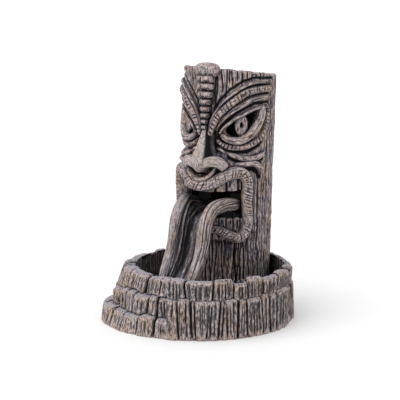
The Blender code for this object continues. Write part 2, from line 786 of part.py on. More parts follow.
def make_housing(finish):
    """Casing with the impeller chamber in front and the motor pocket behind."""
    half = PUMP_WIDTH / 2
    housing = box("pump_housing", (-half, CASING_FRONT, PUMP_BASE), (half, CASING_BACK, PUMP_TOP), finish)
    bevelled(housing, 2.5 * MM, 2)
    pocket_front = CASING_FRONT + CHAMBER_DEPTH + CASING_WALL
    pocket_low = (-half + CASING_WALL, pocket_front, PUMP_BASE + CASING_WALL)
    pocket_high = (half - CASING_WALL, CASING_BACK + OVERCUT, PUMP_TOP - CASING_WALL)
    pocket = box("motor_pocket_cutter", pocket_low, pocket_high)
    shell = WELL_RADIUS + SLEEVE_WALL
    shell_back = WELL_BACK + 2 * RUNNING_GAP
    cut(pocket, rod("rotor_sleeve_cutter", at_shaft(0), "Y", shell, pocket_front - OVERCUT, shell_back))
    cut(housing, pocket)
    front = CASING_FRONT - OVERCUT
    chamber_back = CASING_FRONT + CHAMBER_DEPTH
    cut(housing, rod("chamber_cutter", at_shaft(0), "Y", CHAMBER_RADIUS, front, chamber_back))
    cut(housing, rod("well_cutter", at_shaft(0), "Y", WELL_RADIUS, front, WELL_BACK, sides=28))
    above = PUMP_TOP + OVERCUT
    outlet = (0, NOZZLE_Y, 0)
    cut(housing, rod("port_cutter", outlet, "Z", PORT_RADIUS, SHAFT_Z, above, sides=24))
    seat = PORT_RADIUS + SEAL_SEAT
    cut(housing, rod("seal_seat_cutter", outlet, "Z", seat, PUMP_TOP - SEAL_SEAT, above, sides=24))
    socket = CUP_STEM + FIT_GAP
    socket_top = PUMP_BASE + CUP_GRIP + FIT_GAP
    for i, (x, y) in enumerate(cup_places()):
        low = PUMP_BASE - OVERCUT
        cut(housing, rod(f"cup_socket_cutter_{i}", (x, y, 0), "Z", socket, low, socket_top, sides=12))
    stem = KNOB_STEM + FIT_GAP
    deep = half - STEM_LENGTH - MM
    cut(housing, rod("knob_socket_cutter", knob_centre(), "X", stem, deep, half + OVERCUT, sides=16))
    return housing


def make_cups(finish):
    low = FLOOR + SEAT_GAP
    neck = CUP_STEM * 1.8
    profile = [
        (0, low + 1.6 * MM),
        (CUP_RADIUS - 1.2 * MM, low),
        (CUP_RADIUS, low),
        (CUP_RADIUS - 0.6 * MM, low + 1.2 * MM),
        (neck, low + CUP_HEIGHT / 2),
        (neck, PUMP_BASE - FIT_GAP),
        (CUP_STEM, PUMP_BASE - FIT_GAP),
        (CUP_STEM, PUMP_BASE + CUP_GRIP),
        (0, PUMP_BASE + CUP_GRIP),
    ]
    for i, (x, y) in enumerate(cup_places(), 1):
        turned(f"suction_cup_{i}", (x, y, 0), "Z", profile, finish, sides=20)


def make_chamber_cover(finish):
    """Plate over the impeller chamber, with an inlet hole and a spoked hub for the front bushing."""
    back = CASING_FRONT - FIT_GAP
    front = CASING_FRONT - COVER_THICKNESS
    half = PUMP_WIDTH / 2 - 4 * MM
    tall = PUMP_HEIGHT / 2 - 2.5 * MM
    cover = box("pump_chamber_cover", (-half, front, SHAFT_Z - tall), (half, back, SHAFT_Z + tall), finish)
    inlet = rod("inlet_cutter", at_shaft(0), "Y", INLET_RADIUS, front - OVERCUT, back + OVERCUT, sides=28)
    cut(cover, inlet)
    pocket = SHAFT_RADIUS + BUSHING_WALL + 2 * FIT_GAP
    hub = pocket + 1.2 * MM
    add(cover, rod("hub", at_shaft(0), "Y", hub, front, back + 1.5 * MM, sides=20))
    for side, label in SIDES:
        inner, outer = sorted((side * (hub - MM / 2), side * (INLET_RADIUS + MM)))
        low = (inner, front, SHAFT_Z - SPOKE_WIDTH / 2)
        high = (outer, back, SHAFT_Z + SPOKE_WIDTH / 2)
        add(cover, box(f"spoke_{label}", low, high))
    pocket_front = front + HUB_FACE
    cut(cover, rod("hub_pocket_cutter", at_shaft(0), "Y", pocket, pocket_front, back + OVERCUT, sides=20))
    return cover


def on_shaft(obj):
    """Moves the piece's origin onto the shaft, which it turns about, with its shape where it was."""
    place_origin(obj, Vector(at_shaft(CASING_FRONT + CHAMBER_DEPTH)))


def make_impeller(finish, hub_front, disc_front):
    """Disc with straight vanes on its front and a bored hub."""
    tip = CHAMBER_RADIUS - 2 * MM
    disc_back = disc_front + IMPELLER_DISC
    inside_disc = disc_front + IMPELLER_DISC / 2
    impeller = rod("impeller", at_shaft(0), "Y", tip, disc_front, disc_back, finish)
    bore = SHAFT_RADIUS + FIT_GAP
    hub = bore + 1.4 * MM
    add(impeller, rod("impeller_hub", at_shaft(0), "Y", hub, hub_front, inside_disc, sides=20))
    for i in range(VANE_COUNT):
        low = (hub - MM / 2, hub_front + MM / 2, -VANE_THICKNESS / 2)
        high = (tip - MM / 2, inside_disc, VANE_THICKNESS / 2)
        vane = box(f"vane_{i}", low, high)
        vane.data.transform(Matrix.Rotation(2 * math.pi * i / VANE_COUNT, 4, "Y"))
        vane.data.transform(Matrix.Translation(at_shaft(0)))
        add(impeller, vane)
    low = hub_front - OVERCUT
    cut(impeller, rod("impeller_bore_cutter", at_shaft(0), "Y", bore, low, disc_back + OVERCUT, sides=16))
    on_shaft(impeller)
    return impeller


def sleeve(name, low, high, inner, outer, finish, sides=24):
    """Ring on the shaft's axis."""
    profile = [(inner, low), (outer, low), (outer, high), (inner, high)]
    return turned(name, at_shaft(0), "Y", profile, finish, sides=sides)


def make_rotor(plastic, magnet):
    """The vanes and the magnet that turns them."""
    chamber_back = CASING_FRONT + CHAMBER_DEPTH
    disc_front = chamber_back - RUNNING_GAP - IMPELLER_DISC
    make_impeller(plastic, CASING_FRONT + 2.4 * MM, disc_front)
    front = chamber_back - RUNNING_GAP + FIT_GAP
    bore = SHAFT_RADIUS + FIT_GAP
    on_shaft(sleeve("rotor_magnet", front, front + MOTOR_LENGTH, bore, ROTOR_RADIUS, magnet))


def make_shaft(ceramic, rubber):
    """Pin that the rotor turns on, and the rubber ends that hold it."""
    front = CASING_FRONT - FIT_GAP - 0.4 * MM
    rod("impeller_shaft", at_shaft(0), "Y", SHAFT_RADIUS, front, WELL_BACK - RUNNING_GAP, ceramic, sides=16)
    bore = SHAFT_RADIUS + FIT_GAP
    outer = bore + BUSHING_WALL
    sleeve("front_bushing", front - 0.2 * MM, CASING_FRONT + 0.9 * MM, bore, outer, rubber, sides=16)
    back = WELL_BACK - FIT_GAP
    rear_front = back - BUSHING_LENGTH + 0.4 * MM
    sleeve("rear_bushing", rear_front, back, bore, WELL_RADIUS - FIT_GAP, rubber, sides=20)


def make_stator(iron, copper):
    """U-shaped core with its legs above and below the rotor and the coil on the limb that joins them."""
    front = CASING_FRONT + CHAMBER_DEPTH + CASING_WALL + MOTOR_SETBACK
    back = front + MOTOR_LENGTH
    inner = PUMP_WIDTH / 2 - CASING_WALL
    tall = PUMP_HEIGHT / 2 - CASING_WALL - 2 * MM
    limb_out = inner - COIL_THICKNESS - 2 * FIT_GAP - 0.2 * MM
    limb_in = limb_out - CORE_LIMB
    window = WELL_RADIUS + 1.2 * MM
    low = (-WELL_RADIUS - CORE_LIMB, front, SHAFT_Z - tall)
    core = box("stator_core", low, (limb_out, back, SHAFT_Z + tall), iron)
    low = (-inner, front - MM, SHAFT_Z - window)
    cut(core, box("core_window_cutter", low, (limb_in, back + MM, SHAFT_Z + window)))
    bore = WELL_RADIUS + SLEEVE_WALL + FIT_GAP
    cut(core, rod("core_bore_cutter", at_shaft(0), "Y", bore, front - MM, back + MM, sides=28))
    inside_low = (limb_in - FIT_GAP, front - FIT_GAP, SHAFT_Z - window - MM)
    inside_high = (limb_out + FIT_GAP, back + FIT_GAP, SHAFT_Z + window + MM)
    wire = Vector((COIL_THICKNESS, COIL_THICKNESS, -MM - FIT_GAP))
    coil = box("stator_coil", Vector(inside_low) - wire, Vector(inside_high) + wire, copper)
    cut(coil, box("coil_window_cutter", inside_low, inside_high))


def gland_place():
    inset = CASING_WALL + GLAND_RADIUS + 3 * MM
    return (PUMP_WIDTH / 2 - inset, 0, PUMP_TOP - inset)


def make_potting(resin):
    """Slab of resin that closes the motor pocket, with the hole for the cable's gland."""
    half = PUMP_WIDTH / 2 - CASING_WALL - FIT_GAP
    tall = PUMP_HEIGHT / 2 - CASING_WALL - FIT_GAP
    front = CASING_BACK - POTTING_THICKNESS
    slab = box("potting_block", (-half, front, SHAFT_Z - tall), (half, CASING_BACK, SHAFT_Z + tall), resin)
    hole = GLAND_RADIUS + FIT_GAP
    low = front - OVERCUT
    cut(slab, rod("gland_hole_cutter", gland_place(), "Y", hole, low, CASING_BACK + OVERCUT, sides=20))


def make_gland(rubber):
    """Rubber sleeve where the cable leaves the pump."""
    collar = CASING_BACK + FIT_GAP
    bore = GLAND_RADIUS - 1.4 * MM
    profile = [
        (bore, CASING_BACK - POTTING_THICKNESS),
        (GLAND_RADIUS, CASING_BACK - POTTING_THICKNESS),
        (GLAND_RADIUS, collar),
        (GLAND_RADIUS + 1.2 * MM, collar),
        (GLAND_RADIUS + 1.2 * MM, collar + 1.7 * MM),
        (GLAND_RADIUS - 0.4 * MM, CASING_BACK + GLAND_LENGTH),
        (bore, CASING_BACK + GLAND_LENGTH),
    ]
    turned("cable_gland", gland_place(), "Y", profile, rubber, sides=20)


def make_intake(plastic, foam):
    """Slotted cover that slides off the front of the pump, and the foam block behind it."""
    back = CASING_FRONT - COVER_THICKNESS - FIT_GAP
    front = CASING_FRONT - COVER_THICKNESS - GRILLE_DEPTH
    half = PUMP_WIDTH / 2 - 3 * MM
    tall = PUMP_HEIGHT / 2 - 2 * MM
    grille = box("intake_grille", (-half, front, SHAFT_Z - tall), (half, back, SHAFT_Z + tall), plastic)
    wall = GRILLE_WALL
    inside_low = (-half + wall, front + wall, SHAFT_Z - tall + wall)
    inside_high = (half - wall, back + OVERCUT, SHAFT_Z + tall - wall)
    cut(grille, box("grille_inside_cutter", inside_low, inside_high))
    margin = 3 * MM
    pitch = 2 * (half - margin) / GRILLE_SLOTS
    slot_tall = tall - 4 * MM
    for i in range(GRILLE_SLOTS):
        x = -half + margin + pitch * (i + 0.5)
        low = (x - pitch / 4, front - MM, SHAFT_Z - slot_tall)
        high = (x + pitch / 4, front + 2 * wall, SHAFT_Z + slot_tall)
        cut(grille, box(f"slot_cutter_{i}", low, high))
    inset = wall + FIT_GAP
    low = (-half + inset, front + inset, SHAFT_Z - tall + inset)
    high = (half - inset, back - FIT_GAP, SHAFT_Z + tall - inset)
    box("filter_sponge", low, high, foam)
    return grille


def place_origin(obj, origin):
    """Moves the origin of a piece, and of each solid that shapes it, and leaves the shape where it was."""
    for piece in [obj, *(step.object for step in obj.modifiers)]:
        piece.data.transform(Matrix.Translation(-origin))
        piece.location = origin


def make_regulator(plastic):
    """Knob on the casing's side that throttles the outlet, with a pointer rib."""
    half = PUMP_WIDTH / 2
    centre = knob_centre()
    face = half + KNOB_THICKNESS
    knob = rod("flow_regulator", centre, "X", KNOB_RADIUS, half + FIT_GAP, face, plastic, sides=24)
    add(knob, rod("regulator_stem", centre, "X", KNOB_STEM, half - STEM_LENGTH, half + MM, sides=16))
    rib_reach = KNOB_RADIUS * 0.9
    low = (half + KNOB_THICKNESS / 2, centre[1] - 0.8 * MM, centre[2] - rib_reach)
    high = (face + MM, centre[1] + 0.8 * MM, centre[2] + rib_reach)
    add(knob, box("regulator_rib", low, high))
    place_origin(knob, Vector((half, centre[1], centre[2])))
    return knob


def make_nozzle(plastic, rubber):
    """Push-in outlet that the tube slides over, and the ring that seals it."""
    outer = TUBE_BORE / 2 - FIT_GAP
    bore = outer - NOZZLE_WALL
    plug = PORT_RADIUS - FIT_GAP
    top = PUMP_TOP + NOZZLE_HEIGHT
    profile = [
        (bore, PUMP_TOP - 4 * MM),
        (plug, PUMP_TOP - 4 * MM),
        (plug, PUMP_TOP + FIT_GAP),
        (PORT_RADIUS + 1.7 * MM, PUMP_TOP + FIT_GAP),
        (PORT_RADIUS + 1.7 * MM, PUMP_TOP + NOZZLE_FLANGE),
        (outer, PUMP_TOP + NOZZLE_FLANGE),
        (outer, top - MM),
        (outer - 0.6 * MM, top),
        (bore, top),
    ]
    outlet = (0, NOZZLE_Y, 0)
    turned("outlet_nozzle", outlet, "Z", profile, plastic, sides=24)
    middle = (PORT_RADIUS + 0.8 * MM, PUMP_TOP - 0.9 * MM)
    ring = []
    for k in range(6):
        turn = math.radians(60 * k)
        radius = middle[0] + RING_THICKNESS / 2 * math.cos(turn)
        ring.append((radius, middle[1] + RING_THICKNESS / 2 * math.sin(turn)))
    turned("outlet_ring", outlet, "Z", ring, rubber, sides=24)


# ---------------------------------------------------------------- all together


def main():
    clear_scene()
    stone_wood = material("grey_cast_resin", (0.18, 0.165, 0.16), 0.75)
    basin_wood = material("brown_grey_cast_resin", (0.17, 0.145, 0.13), 0.78)
    tongue_wood = material("pale_grey_cast_resin", (0.22, 0.195, 0.185), 0.72)
    black = material("black_plastic", (0.015, 0.015, 0.016), 0.4)
    grey = material("dark_grey_plastic", (0.05, 0.05, 0.055), 0.45)
    vinyl = material("soft_vinyl", (0.03, 0.03, 0.032), 0.3)
    rubber = material("black_rubber", (0.02, 0.02, 0.02), 0.6)
    foam = material("open_foam", (0.03, 0.03, 0.035), 0.95)
    magnet = material("ferrite_magnet", (0.06, 0.06, 0.065), 0.55, 0.2)
    ceramic = material("white_ceramic", (0.82, 0.81, 0.78), 0.25)
    iron = material("laminated_iron", (0.32, 0.31, 0.3), 0.45, 0.9)
    copper = material("enamelled_copper", (0.45, 0.16, 0.06), 0.35, 0.9)
    resin = material("potting_resin", (0.02, 0.02, 0.022), 0.25)

    make_basin(basin_wood)
    make_totem(stone_wood)
    make_tongue(tongue_wood)
    make_tray(black)
    make_tube(vinyl)
    make_housing(grey)
    make_cups(rubber)
    make_chamber_cover(grey)
    make_rotor(black, magnet)
    make_shaft(ceramic, rubber)
    make_stator(iron, copper)
    make_potting(resin)
    make_gland(rubber)
    make_intake(black, foam)
    make_regulator(black)
    make_nozzle(grey, rubber)


main()
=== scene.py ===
import math
from functools import partial

import bpy
import numpy as np
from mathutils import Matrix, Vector
from mathutils.bvhtree import BVHTree


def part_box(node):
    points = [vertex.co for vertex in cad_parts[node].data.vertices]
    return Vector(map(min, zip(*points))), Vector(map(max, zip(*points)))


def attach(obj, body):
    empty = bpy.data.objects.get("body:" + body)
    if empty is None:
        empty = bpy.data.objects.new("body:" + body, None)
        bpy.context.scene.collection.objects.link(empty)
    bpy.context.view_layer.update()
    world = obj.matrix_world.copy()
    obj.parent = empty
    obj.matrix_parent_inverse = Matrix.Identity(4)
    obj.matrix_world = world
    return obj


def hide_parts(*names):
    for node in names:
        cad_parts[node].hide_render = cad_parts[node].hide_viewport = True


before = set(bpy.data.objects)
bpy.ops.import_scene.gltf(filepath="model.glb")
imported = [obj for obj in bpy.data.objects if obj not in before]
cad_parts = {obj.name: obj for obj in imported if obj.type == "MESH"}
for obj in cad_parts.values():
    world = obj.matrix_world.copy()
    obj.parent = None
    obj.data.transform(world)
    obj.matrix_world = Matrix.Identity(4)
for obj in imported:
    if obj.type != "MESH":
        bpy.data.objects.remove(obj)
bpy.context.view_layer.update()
mm = 0.001
print("frame loaded")

# Lengths are in millimetres and angles in degrees. Angle 0 is the way the face looks, and angles grow
# towards +X, both round the log and round the basin.
shellLow, shellHigh = (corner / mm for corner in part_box("totem_shell"))

logShape = {
    "topRadius": 50.8,
    "footRadius": 44.6,
    "wall": 5.5,
    "height": 258,
    "roof": 12,
    "topSlope": 0.05,  # the top falls towards the face's left
    "backSlope": 0.1,  # and away from the face
    "poolFit": 78.6,  # the foot stays inside this circle round the basin's middle
    "ledge": 63.4,  # height at which the log steps out over the basin's rim
    "pitch": 0.98,  # of the mesh over the face
    "backColumns": 52,  # of the mesh on each side of the back
    "topChecks": 1.2,  # depth of the cracks in the top
    "ringRelief": 0.12,  # height of the growth rings in the top
}
logFoot = shellLow.z
logTop = logFoot + logShape["height"]
logY = shellHigh.y - logShape["topRadius"]
knotSteps = 24  # points that a curve is worked out in, from one knot to the next
noiseRows = 97  # a prime, so that no pattern of streaks repeats within a piece


def select(obj):
    bpy.ops.object.select_all(action="DESELECT")
    obj.select_set(True)
    bpy.context.view_layer.objects.active = obj


def ease(value, low, high):
    # 0 below low, 1 above high, smooth between
    share = np.clip((np.asarray(value, float) - low) / (high - low), 0, 1)
    return share * share * (3 - 2 * share)


def fade(value, low, high):
    # 1 below low, 0 above high
    return ease(-np.asarray(value, float), -high, -low)


def bump(value, centre, width):
    return np.exp(-(((np.asarray(value, float) - centre) / width) ** 2))


def streaks(along, around, period, seed):
    # Value noise between -1 and 1 that closes after "period" cells around
    dice = np.random.default_rng(seed).uniform(-1, 1, (noiseRows, period))
    a = np.floor(along).astype(int)
    b = np.floor(around).astype(int)
    fa = along - a
    fb = around - b
    fa = fa * fa * (3 - 2 * fa)
    fb = fb * fb * (3 - 2 * fb)
    row, rowAfter = a % noiseRows, (a + 1) % noiseRows
    column, columnAfter = b % period, (b + 1) % period
    low = dice[row, column] * (1 - fb) + dice[row, columnAfter] * fb
    high = dice[rowAfter, column] * (1 - fb) + dice[rowAfter, columnAfter] * fb
    return low * (1 - fa) + high * fa


def through(points, steps):
    # Smooth curve through rows of numbers, evenly spaced by the first three
    knots = np.array(points, float)
    padded = np.vstack([2 * knots[0] - knots[1], knots, 2 * knots[-1] - knots[-2]])
    fine = []
    t = np.linspace(0, 1, knotSteps, endpoint=False)[:, None]
    for i in range(1, len(padded) - 2):
        a, b, c, d = padded[i - 1 : i + 3]
        square, cube = 2 * a - 5 * b + 4 * c - d, 3 * b - a - 3 * c + d
        fine.append(0.5 * (2 * b + (c - a) * t + square * t**2 + cube * t**3))
    fine = np.vstack([*fine, knots[-1:]])
    gaps = np.linalg.norm(np.diff(fine[:, :3], axis=0), axis=1)
    length = np.concatenate([[0], np.cumsum(gaps)])
    where = np.linspace(0, length[-1], steps)
    return np.stack([np.interp(where, length, column) for column in fine.T], 1), where


def dress(obj, grain, finish):
    # Smooth shading, a "grain" attribute of lengths along and across the piece, and its material
    held = obj.data.attributes.new("grain", "FLOAT_VECTOR", "POINT")
    held.data.foreach_set("vector", grain.astype(np.float32).ravel())
    bpy.ops.object.shade_smooth()
    for layer in list(obj.data.uv_layers):
        obj.data.uv_layers.remove(layer)
    obj.data.materials.clear()
    obj.data.materials.append(finish)


def net(name, points, grain, finish):
    # A grid bent into a closed skin: its side edges meet, and its end rows shrink to points
    rows, columns = points.shape[:2]
    bpy.ops.object.select_all(action="DESELECT")
    bpy.ops.mesh.primitive_grid_add(x_subdivisions=columns - 1, y_subdivisions=rows - 1, size=1)
    obj = bpy.context.object
    obj.name = name
    obj.data.name = name
    obj.data.vertices.foreach_set("co", (points * mm).astype(np.float32).ravel())
    dress(obj, grain, finish)
    bpy.ops.object.mode_set(mode="EDIT")
    bpy.ops.mesh.select_all(action="SELECT")
    bpy.ops.mesh.remove_doubles(threshold=0.02 * mm)
    bpy.ops.mesh.normals_make_consistent(inside=False)
    bpy.ops.object.mode_set(mode="OBJECT")
    return obj


def logRadius(z):
    s = logShape
    return s["footRadius"] + (s["topRadius"] - s["footRadius"]) * (z - logFoot) / s["height"]


def onLog(angle, z, radius):
    turn = np.radians(angle)
    return np.stack([radius * np.sin(turn), logY - radius * np.cos(turn), z], -1)


def unit(rows):
    return rows / np.linalg.norm(rows, axis=1)[:, None]


def boxy(value, power):
    # Sine or cosine pushed towards a square's sides; a power of 2 leaves it round
    return np.sign(value) * np.abs(value) ** (2 / power)


def strip(name, knots, finish, steps, sides=26, carve=None, square=2.0, blunt=0.8):
    # A carved strip laid on the log along (angle, z, radius, half width, height) knots
    centre = [[*onLog(k[0], k[1], k[2]), k[0], k[3], k[4]] for k in knots]
    line, where = through(centre, steps)
    spots = line[:, :3]
    tangent = unit(np.gradient(spots, axis=0))
    turn = np.radians(line[:, 3])
    outward = np.stack([np.sin(turn), -np.cos(turn), np.zeros_like(turn)], 1)
    outward = unit(outward - tangent * (outward * tangent).sum(1)[:, None])
    side = np.cross(tangent, outward)
    around = np.linspace(0, 1, sides + 1)
    phase = 2 * np.pi * around - np.pi / 2
    c, s = boxy(np.cos(phase), square), boxy(np.sin(phase), square)
    tip = blunt * line[:, 4].mean() + 0.3
    end = np.clip(np.minimum(where, where[-1] - where) / tip, 0, 1)
    taper = np.sqrt(1 - (1 - end) ** 2)
    taper[0] = taper[-1] = 0
    across = line[:, 4, None] * taper[:, None] * c[None, :]
    out = line[:, 5, None] * taper[:, None] * s[None, :]
    if carve:
        upper = np.clip(s, 0, 1)[None, :] * taper[:, None]
        out = out + carve(where[:, None], across, around[None, :]) * upper
    points = spots[:, None, :] + side[:, None, :] * across[..., None] + outward[:, None, :] * out[..., None]
    grain = np.stack([np.broadcast_to(where[:, None], across.shape), across, out], -1)
    return net(name, points, grain, finish)


def both(name, knots, *rest, **more):
    # The strip and its twin on the other side of the nose
    twin = [(-k[0], *k[1:]) for k in knots]
    return [strip(name + "Left", knots, *rest, **more), strip(name + "Right", twin[::-1], *rest, **more)]


def linear(code):
    # sRGB hex to linear colour
    parts = [int(code[i : i + 2], 16) / 255 for i in (1, 3, 5)]
    return [p / 12.92 if p <= 0.04045 else ((p + 0.055) / 1.055) ** 2.4 for p in parts] + [1]


def addNode(tree, kind, inputs, out=0, **settings):
    # Adds one node, sets or links its inputs, and gives back one of its outputs
    made = tree.nodes.new("ShaderNode" + kind)
    for key, value in settings.items():
        setattr(made, key, value)
    for key, value in inputs.items():
        if isinstance(value, bpy.types.NodeSocket):
            tree.links.new(made.inputs[key], value)
        else:
            made.inputs[key].default_value = linear(value) if isinstance(value, str) else value
    return made.outputs[out]


def freshMaterial(name):
    made = bpy.data.materials.new(name)
    made.use_nodes = True
    return made, made.node_tree.nodes["Principled BSDF"], partial(addNode, made.node_tree)


def connect(shader, **sockets):
    for key, source in sockets.items():
        shader.id_data.links.new(shader.inputs[key.replace("_", " ")], source)


def dryBrushedResin(name, look):
    # Cold-cast resin, painted: a dark wash stays in the cuts, and a dry brush leaves paint on the edges,
    # which gives the eye weathered driftwood with pale ridges and near-black cracks; painted shade is added
    # where other surfaces stand close, with a painted shaded side and painted top light on some pieces
    made, shader, add = freshMaterial(name)
    relief = add("Attribute", {}, out="Fac", attribute_name="relief")
    hollow = add("Attribute", {}, out="Fac", attribute_name="hollow")
    grain = add("Attribute", {}, out="Vector", attribute_name="grain")
    place = add("TexCoord", {}, out="Object")
    # grain lines are 14 mm long and about 1 mm apart
    drawn = add("Mapping", {"Vector": grain, "Scale": (0.07, 0.9, 0.9)})
    lines = add("TexNoise", {"Vector": drawn, "Scale": 1, "Detail": 4, "Roughness": 0.62})
    streak = add("Math", {0: lines, 1: 0.5}, operation="SUBTRACT")
    # worn patches are a few centimetres across, and the rust runs down
    patch = add("TexNoise", {"Vector": place, "Scale": 42, "Detail": 3, "Roughness": 0.55})
    tall = add("Mapping", {"Vector": place, "Scale": (1, 1, 0.35)})
    rustNoise = add("TexNoise", {"Vector": tall, "Scale": 120, "Detail": 3, "Roughness": 0.6})
    # 0.8 mm speckle from the sand in the cast, drawn a little coarse so that it shows
    speckle = add("TexNoise", {"Vector": place, "Scale": 620, "Detail": 3, "Roughness": 0.75})
    spot = add("Math", {0: speckle, 1: 0.5}, operation="SUBTRACT")
    # short dry nicks, 5 mm by 1.5 mm, along the grain
    nicked = add("Mapping", {"Vector": grain, "Scale": (0.2, 0.75, 0.75), "Location": (31, 17, 5)})
    nicks = add("TexNoise", {"Vector": nicked, "Scale": 1, "Detail": 3, "Roughness": 0.7})
    missed = add("MapRange", {0: nicks, 1: 0.4, 2: 0.58, 3: look["missed"], 4: 1.1}, clamp=False)
    pits = add("MapRange", {0: nicks, 1: 0.36, 2: 0.44, 3: look["pits"], 4: 0})

    # the resin itself
    warmth = add("MapRange", {0: patch, 1: 0.42, 2: 0.58})
    body = add("Mix", {0: warmth, 6: look["cool"], 7: look["warm"]}, out=2, data_type="RGBA")
    tone = add("Math", {0: streak, 1: look["streak"], 2: 0.5}, operation="MULTIPLY_ADD")
    tone = add("Math", {0: spot, 1: 0.5, 2: tone}, operation="MULTIPLY_ADD", use_clamp=True)
    body = add("Mix", {0: tone, 6: look["shade"], 7: body}, out=2, data_type="RGBA")

    # the dry-brushed paint, tan on the edges and greyer on the flats, with some rust
    raised = add("Math", {0: relief, 1: look["edge"], 2: look["brushed"]}, operation="MULTIPLY_ADD")
    raised = add("Math", {0: streak, 1: look["brushStreak"], 2: raised}, operation="MULTIPLY_ADD")
    raised = add("Math", {0: spot, 1: look["brushSpeckle"], 2: raised}, operation="MULTIPLY_ADD")
    # painted shade also takes the dry-brushed paint off
    paintLostInShade = {0: hollow, 1: -look["paintLostInShade"], 2: raised}
    raised = add("Math", paintLostInShade, operation="MULTIPLY_ADD", use_clamp=True)
    edgeTan = add("MapRange", {0: relief, 1: 0.2, 2: 0.9, 4: look["edgeTan"]})
    tanned = add("Math", {0: warmth, 1: look["patchTan"]}, operation="MULTIPLY")
    tanned = add("Math", {0: tanned, 1: edgeTan}, operation="MAXIMUM")
    paint = add("Mix", {0: tanned, 6: look["pale"], 7: look["tan"]}, out=2, data_type="RGBA")
    rust = add("MapRange", {0: rustNoise, 1: look["rustFrom"], 2: look["rustTo"], 4: look["rusty"]})
    paint = add("Mix", {0: rust, 6: paint, 7: look["rust"]}, out=2, data_type="RGBA")
    cover = add("Math", {0: raised, 1: look["cover"]}, operation="MULTIPLY")
    cover = add("Math", {0: cover, 1: missed}, operation="MULTIPLY", use_clamp=True)
    colour = add("Mix", {0: cover, 6: body, 7: paint}, out=2, data_type="RGBA")

    # painted top light: faces that look up are mixed towards a pale grey
    facing = add("SeparateXYZ", {"Vector": add("TexCoord", {}, out="Normal")}, out="Z")
    paintedTopLight = add("MapRange", {0: facing, 1: 0.6, 2: 0.9, 4: look["topLightShare"]})
    colour = add("Mix", {0: paintedTopLight, 6: colour, 7: look["topLightColour"]}, out=2, data_type="RGBA")

    # the dark wash in the cuts, and painted shade where other surfaces stand close
    darkWashAndShade = add("Math", {0: relief, 1: -look["cut"], 2: -look["washFrom"]}, operation="MULTIPLY_ADD")
    darkWashAndShade = add("Math", {0: hollow, 1: look["washAndShade"], 2: darkWashAndShade}, operation="MULTIPLY_ADD")
    darkWashAndShade = add("Math", {0: streak, 1: -look["washStreak"], 2: darkWashAndShade}, operation="MULTIPLY_ADD")
    darkWashAndShade = add("Math", {0: spot, 1: -look["washSpeckle"], 2: darkWashAndShade}, operation="MULTIPLY_ADD")
    darkWashAndShade = add("Math", {0: darkWashAndShade, 1: pits}, operation="MAXIMUM", use_clamp=True)
    colour = add("Mix", {0: darkWashAndShade, 6: colour, 7: look["dark"]}, out=2, data_type="RGBA")
    rough = add("Math", {0: raised, 1: -0.12, 2: look["rough"]}, operation="MULTIPLY_ADD")
    height = add("Math", {0: speckle, 1: 0.35, 2: lines}, operation="MULTIPLY_ADD")
    bumped = add("Bump", {"Strength": look["bump"], "Distance": 0.0009, "Height": height})
    connect(shader, Base_Color=colour, Roughness=rough, Normal=bumped)
    shader.inputs["Specular IOR Level"].default_value = 0.25
    return made


totemLook = {
    "cool": "#5a586a",
    "warm": "#6b5e59",
    "shade": "#2a2526",
    "pale": "#bfb6ba",
    "tan": "#bda698",
    "rust": "#97604a",
    # near-black of the dark wash and of the painted shade
    "dark": "#080607",
    # pale grey of the painted top light
    "topLightColour": "#9796a4",
    "streak": 2.6,  # how much the grain lines vary the resin
    "brushed": 0.04,  # paint everywhere
    "edge": 1.05,  # paint on raised edges
    "brushStreak": 2.0,  # how much it follows the grain lines
    "brushSpeckle": 1.3,
    "paintLostInShade": 1.5,  # how much of it the painted shade takes off
    "cover": 0.8,
    "missed": 0.2,  # paint left in the nicks
    "edgeTan": 0.6,
    "patchTan": 0.9,
    "rustFrom": 0.6,
    "rustTo": 0.7,
    "rusty": 0.75,
    # painted top light on faces that look up
    "topLightShare": 0.1,
    "cut": 1.5,  # wash in cuts
    "washAndShade": 2.6,  # dark wash and painted shade where other surfaces stand close
    "washFrom": 0.42,
    "washStreak": 1.2,
    "washSpeckle": 0.8,
    "pits": 0.75,  # wash in the nicks
    "rough": 0.82,
    "bump": 0.7,
}
basinLook = dict(
    totemLook,
    cool="#535055",
    warm="#5b5351",
    shade="#262121",
    pale="#b8b3ba",
    tan="#bda595",
    brushed=0.0,
    # more painted top light on the treads
    topLightShare=0.55,
)
tongueLook = dict(
    totemLook,
    cool="#5c5a66",
    warm="#655c59",
    pale="#bdb5b9",
    tan="#b3a299",
    brushed=0.08,
    missed=0.5,
    pits=0.4,
)


def mouldedPlastic(name, colour, rough, grit):
    # Injection-moulded ABS with a spark-eroded texture: a soft, even sheen broken by fine grit
    made, shader, add = freshMaterial(name)
    place = add("TexCoord", {}, out="Object")
    fine = add("TexNoise", {"Vector": place, "Scale": 1000 / grit, "Detail": 2})
    smudge = add("TexNoise", {"Vector": place, "Scale": 60, "Detail": 3})
    mottled = add("Mix", {0: smudge, 6: colour[0], 7: colour[1]}, out=2, data_type="RGBA")
    spread = add("MapRange", {0: smudge, 3: rough - 0.08, 4: rough + 0.1})
    bumped = add("Bump", {"Strength": 0.25, "Distance": 0.0002, "Height": fine})
    connect(shader, Base_Color=mottled, Roughness=spread, Normal=bumped)
    return made


def filterFoam(name):
    # Reticulated polyurethane foam with 1.2 mm cells: a dark open mesh
    made, shader, add = freshMaterial(name)
    place = add("TexCoord", {}, out="Object")
    cells = add("TexVoronoi", {"Vector": place, "Scale": 830}, feature="DISTANCE_TO_EDGE")
    web = add("MapRange", {0: cells, 1: 0.05, 2: 0.2})
    colour = add("Mix", {0: web, 6: "#3c3d42", 7: "#08080a"}, out=2, data_type="RGBA")
    bumped = add("Bump", {"Strength": 0.9, "Distance": 0.001, "Height": cells}, invert=True)
    connect(shader, Base_Color=colour, Normal=bumped)
    shader.inputs["Roughness"].default_value = 0.95
    return made


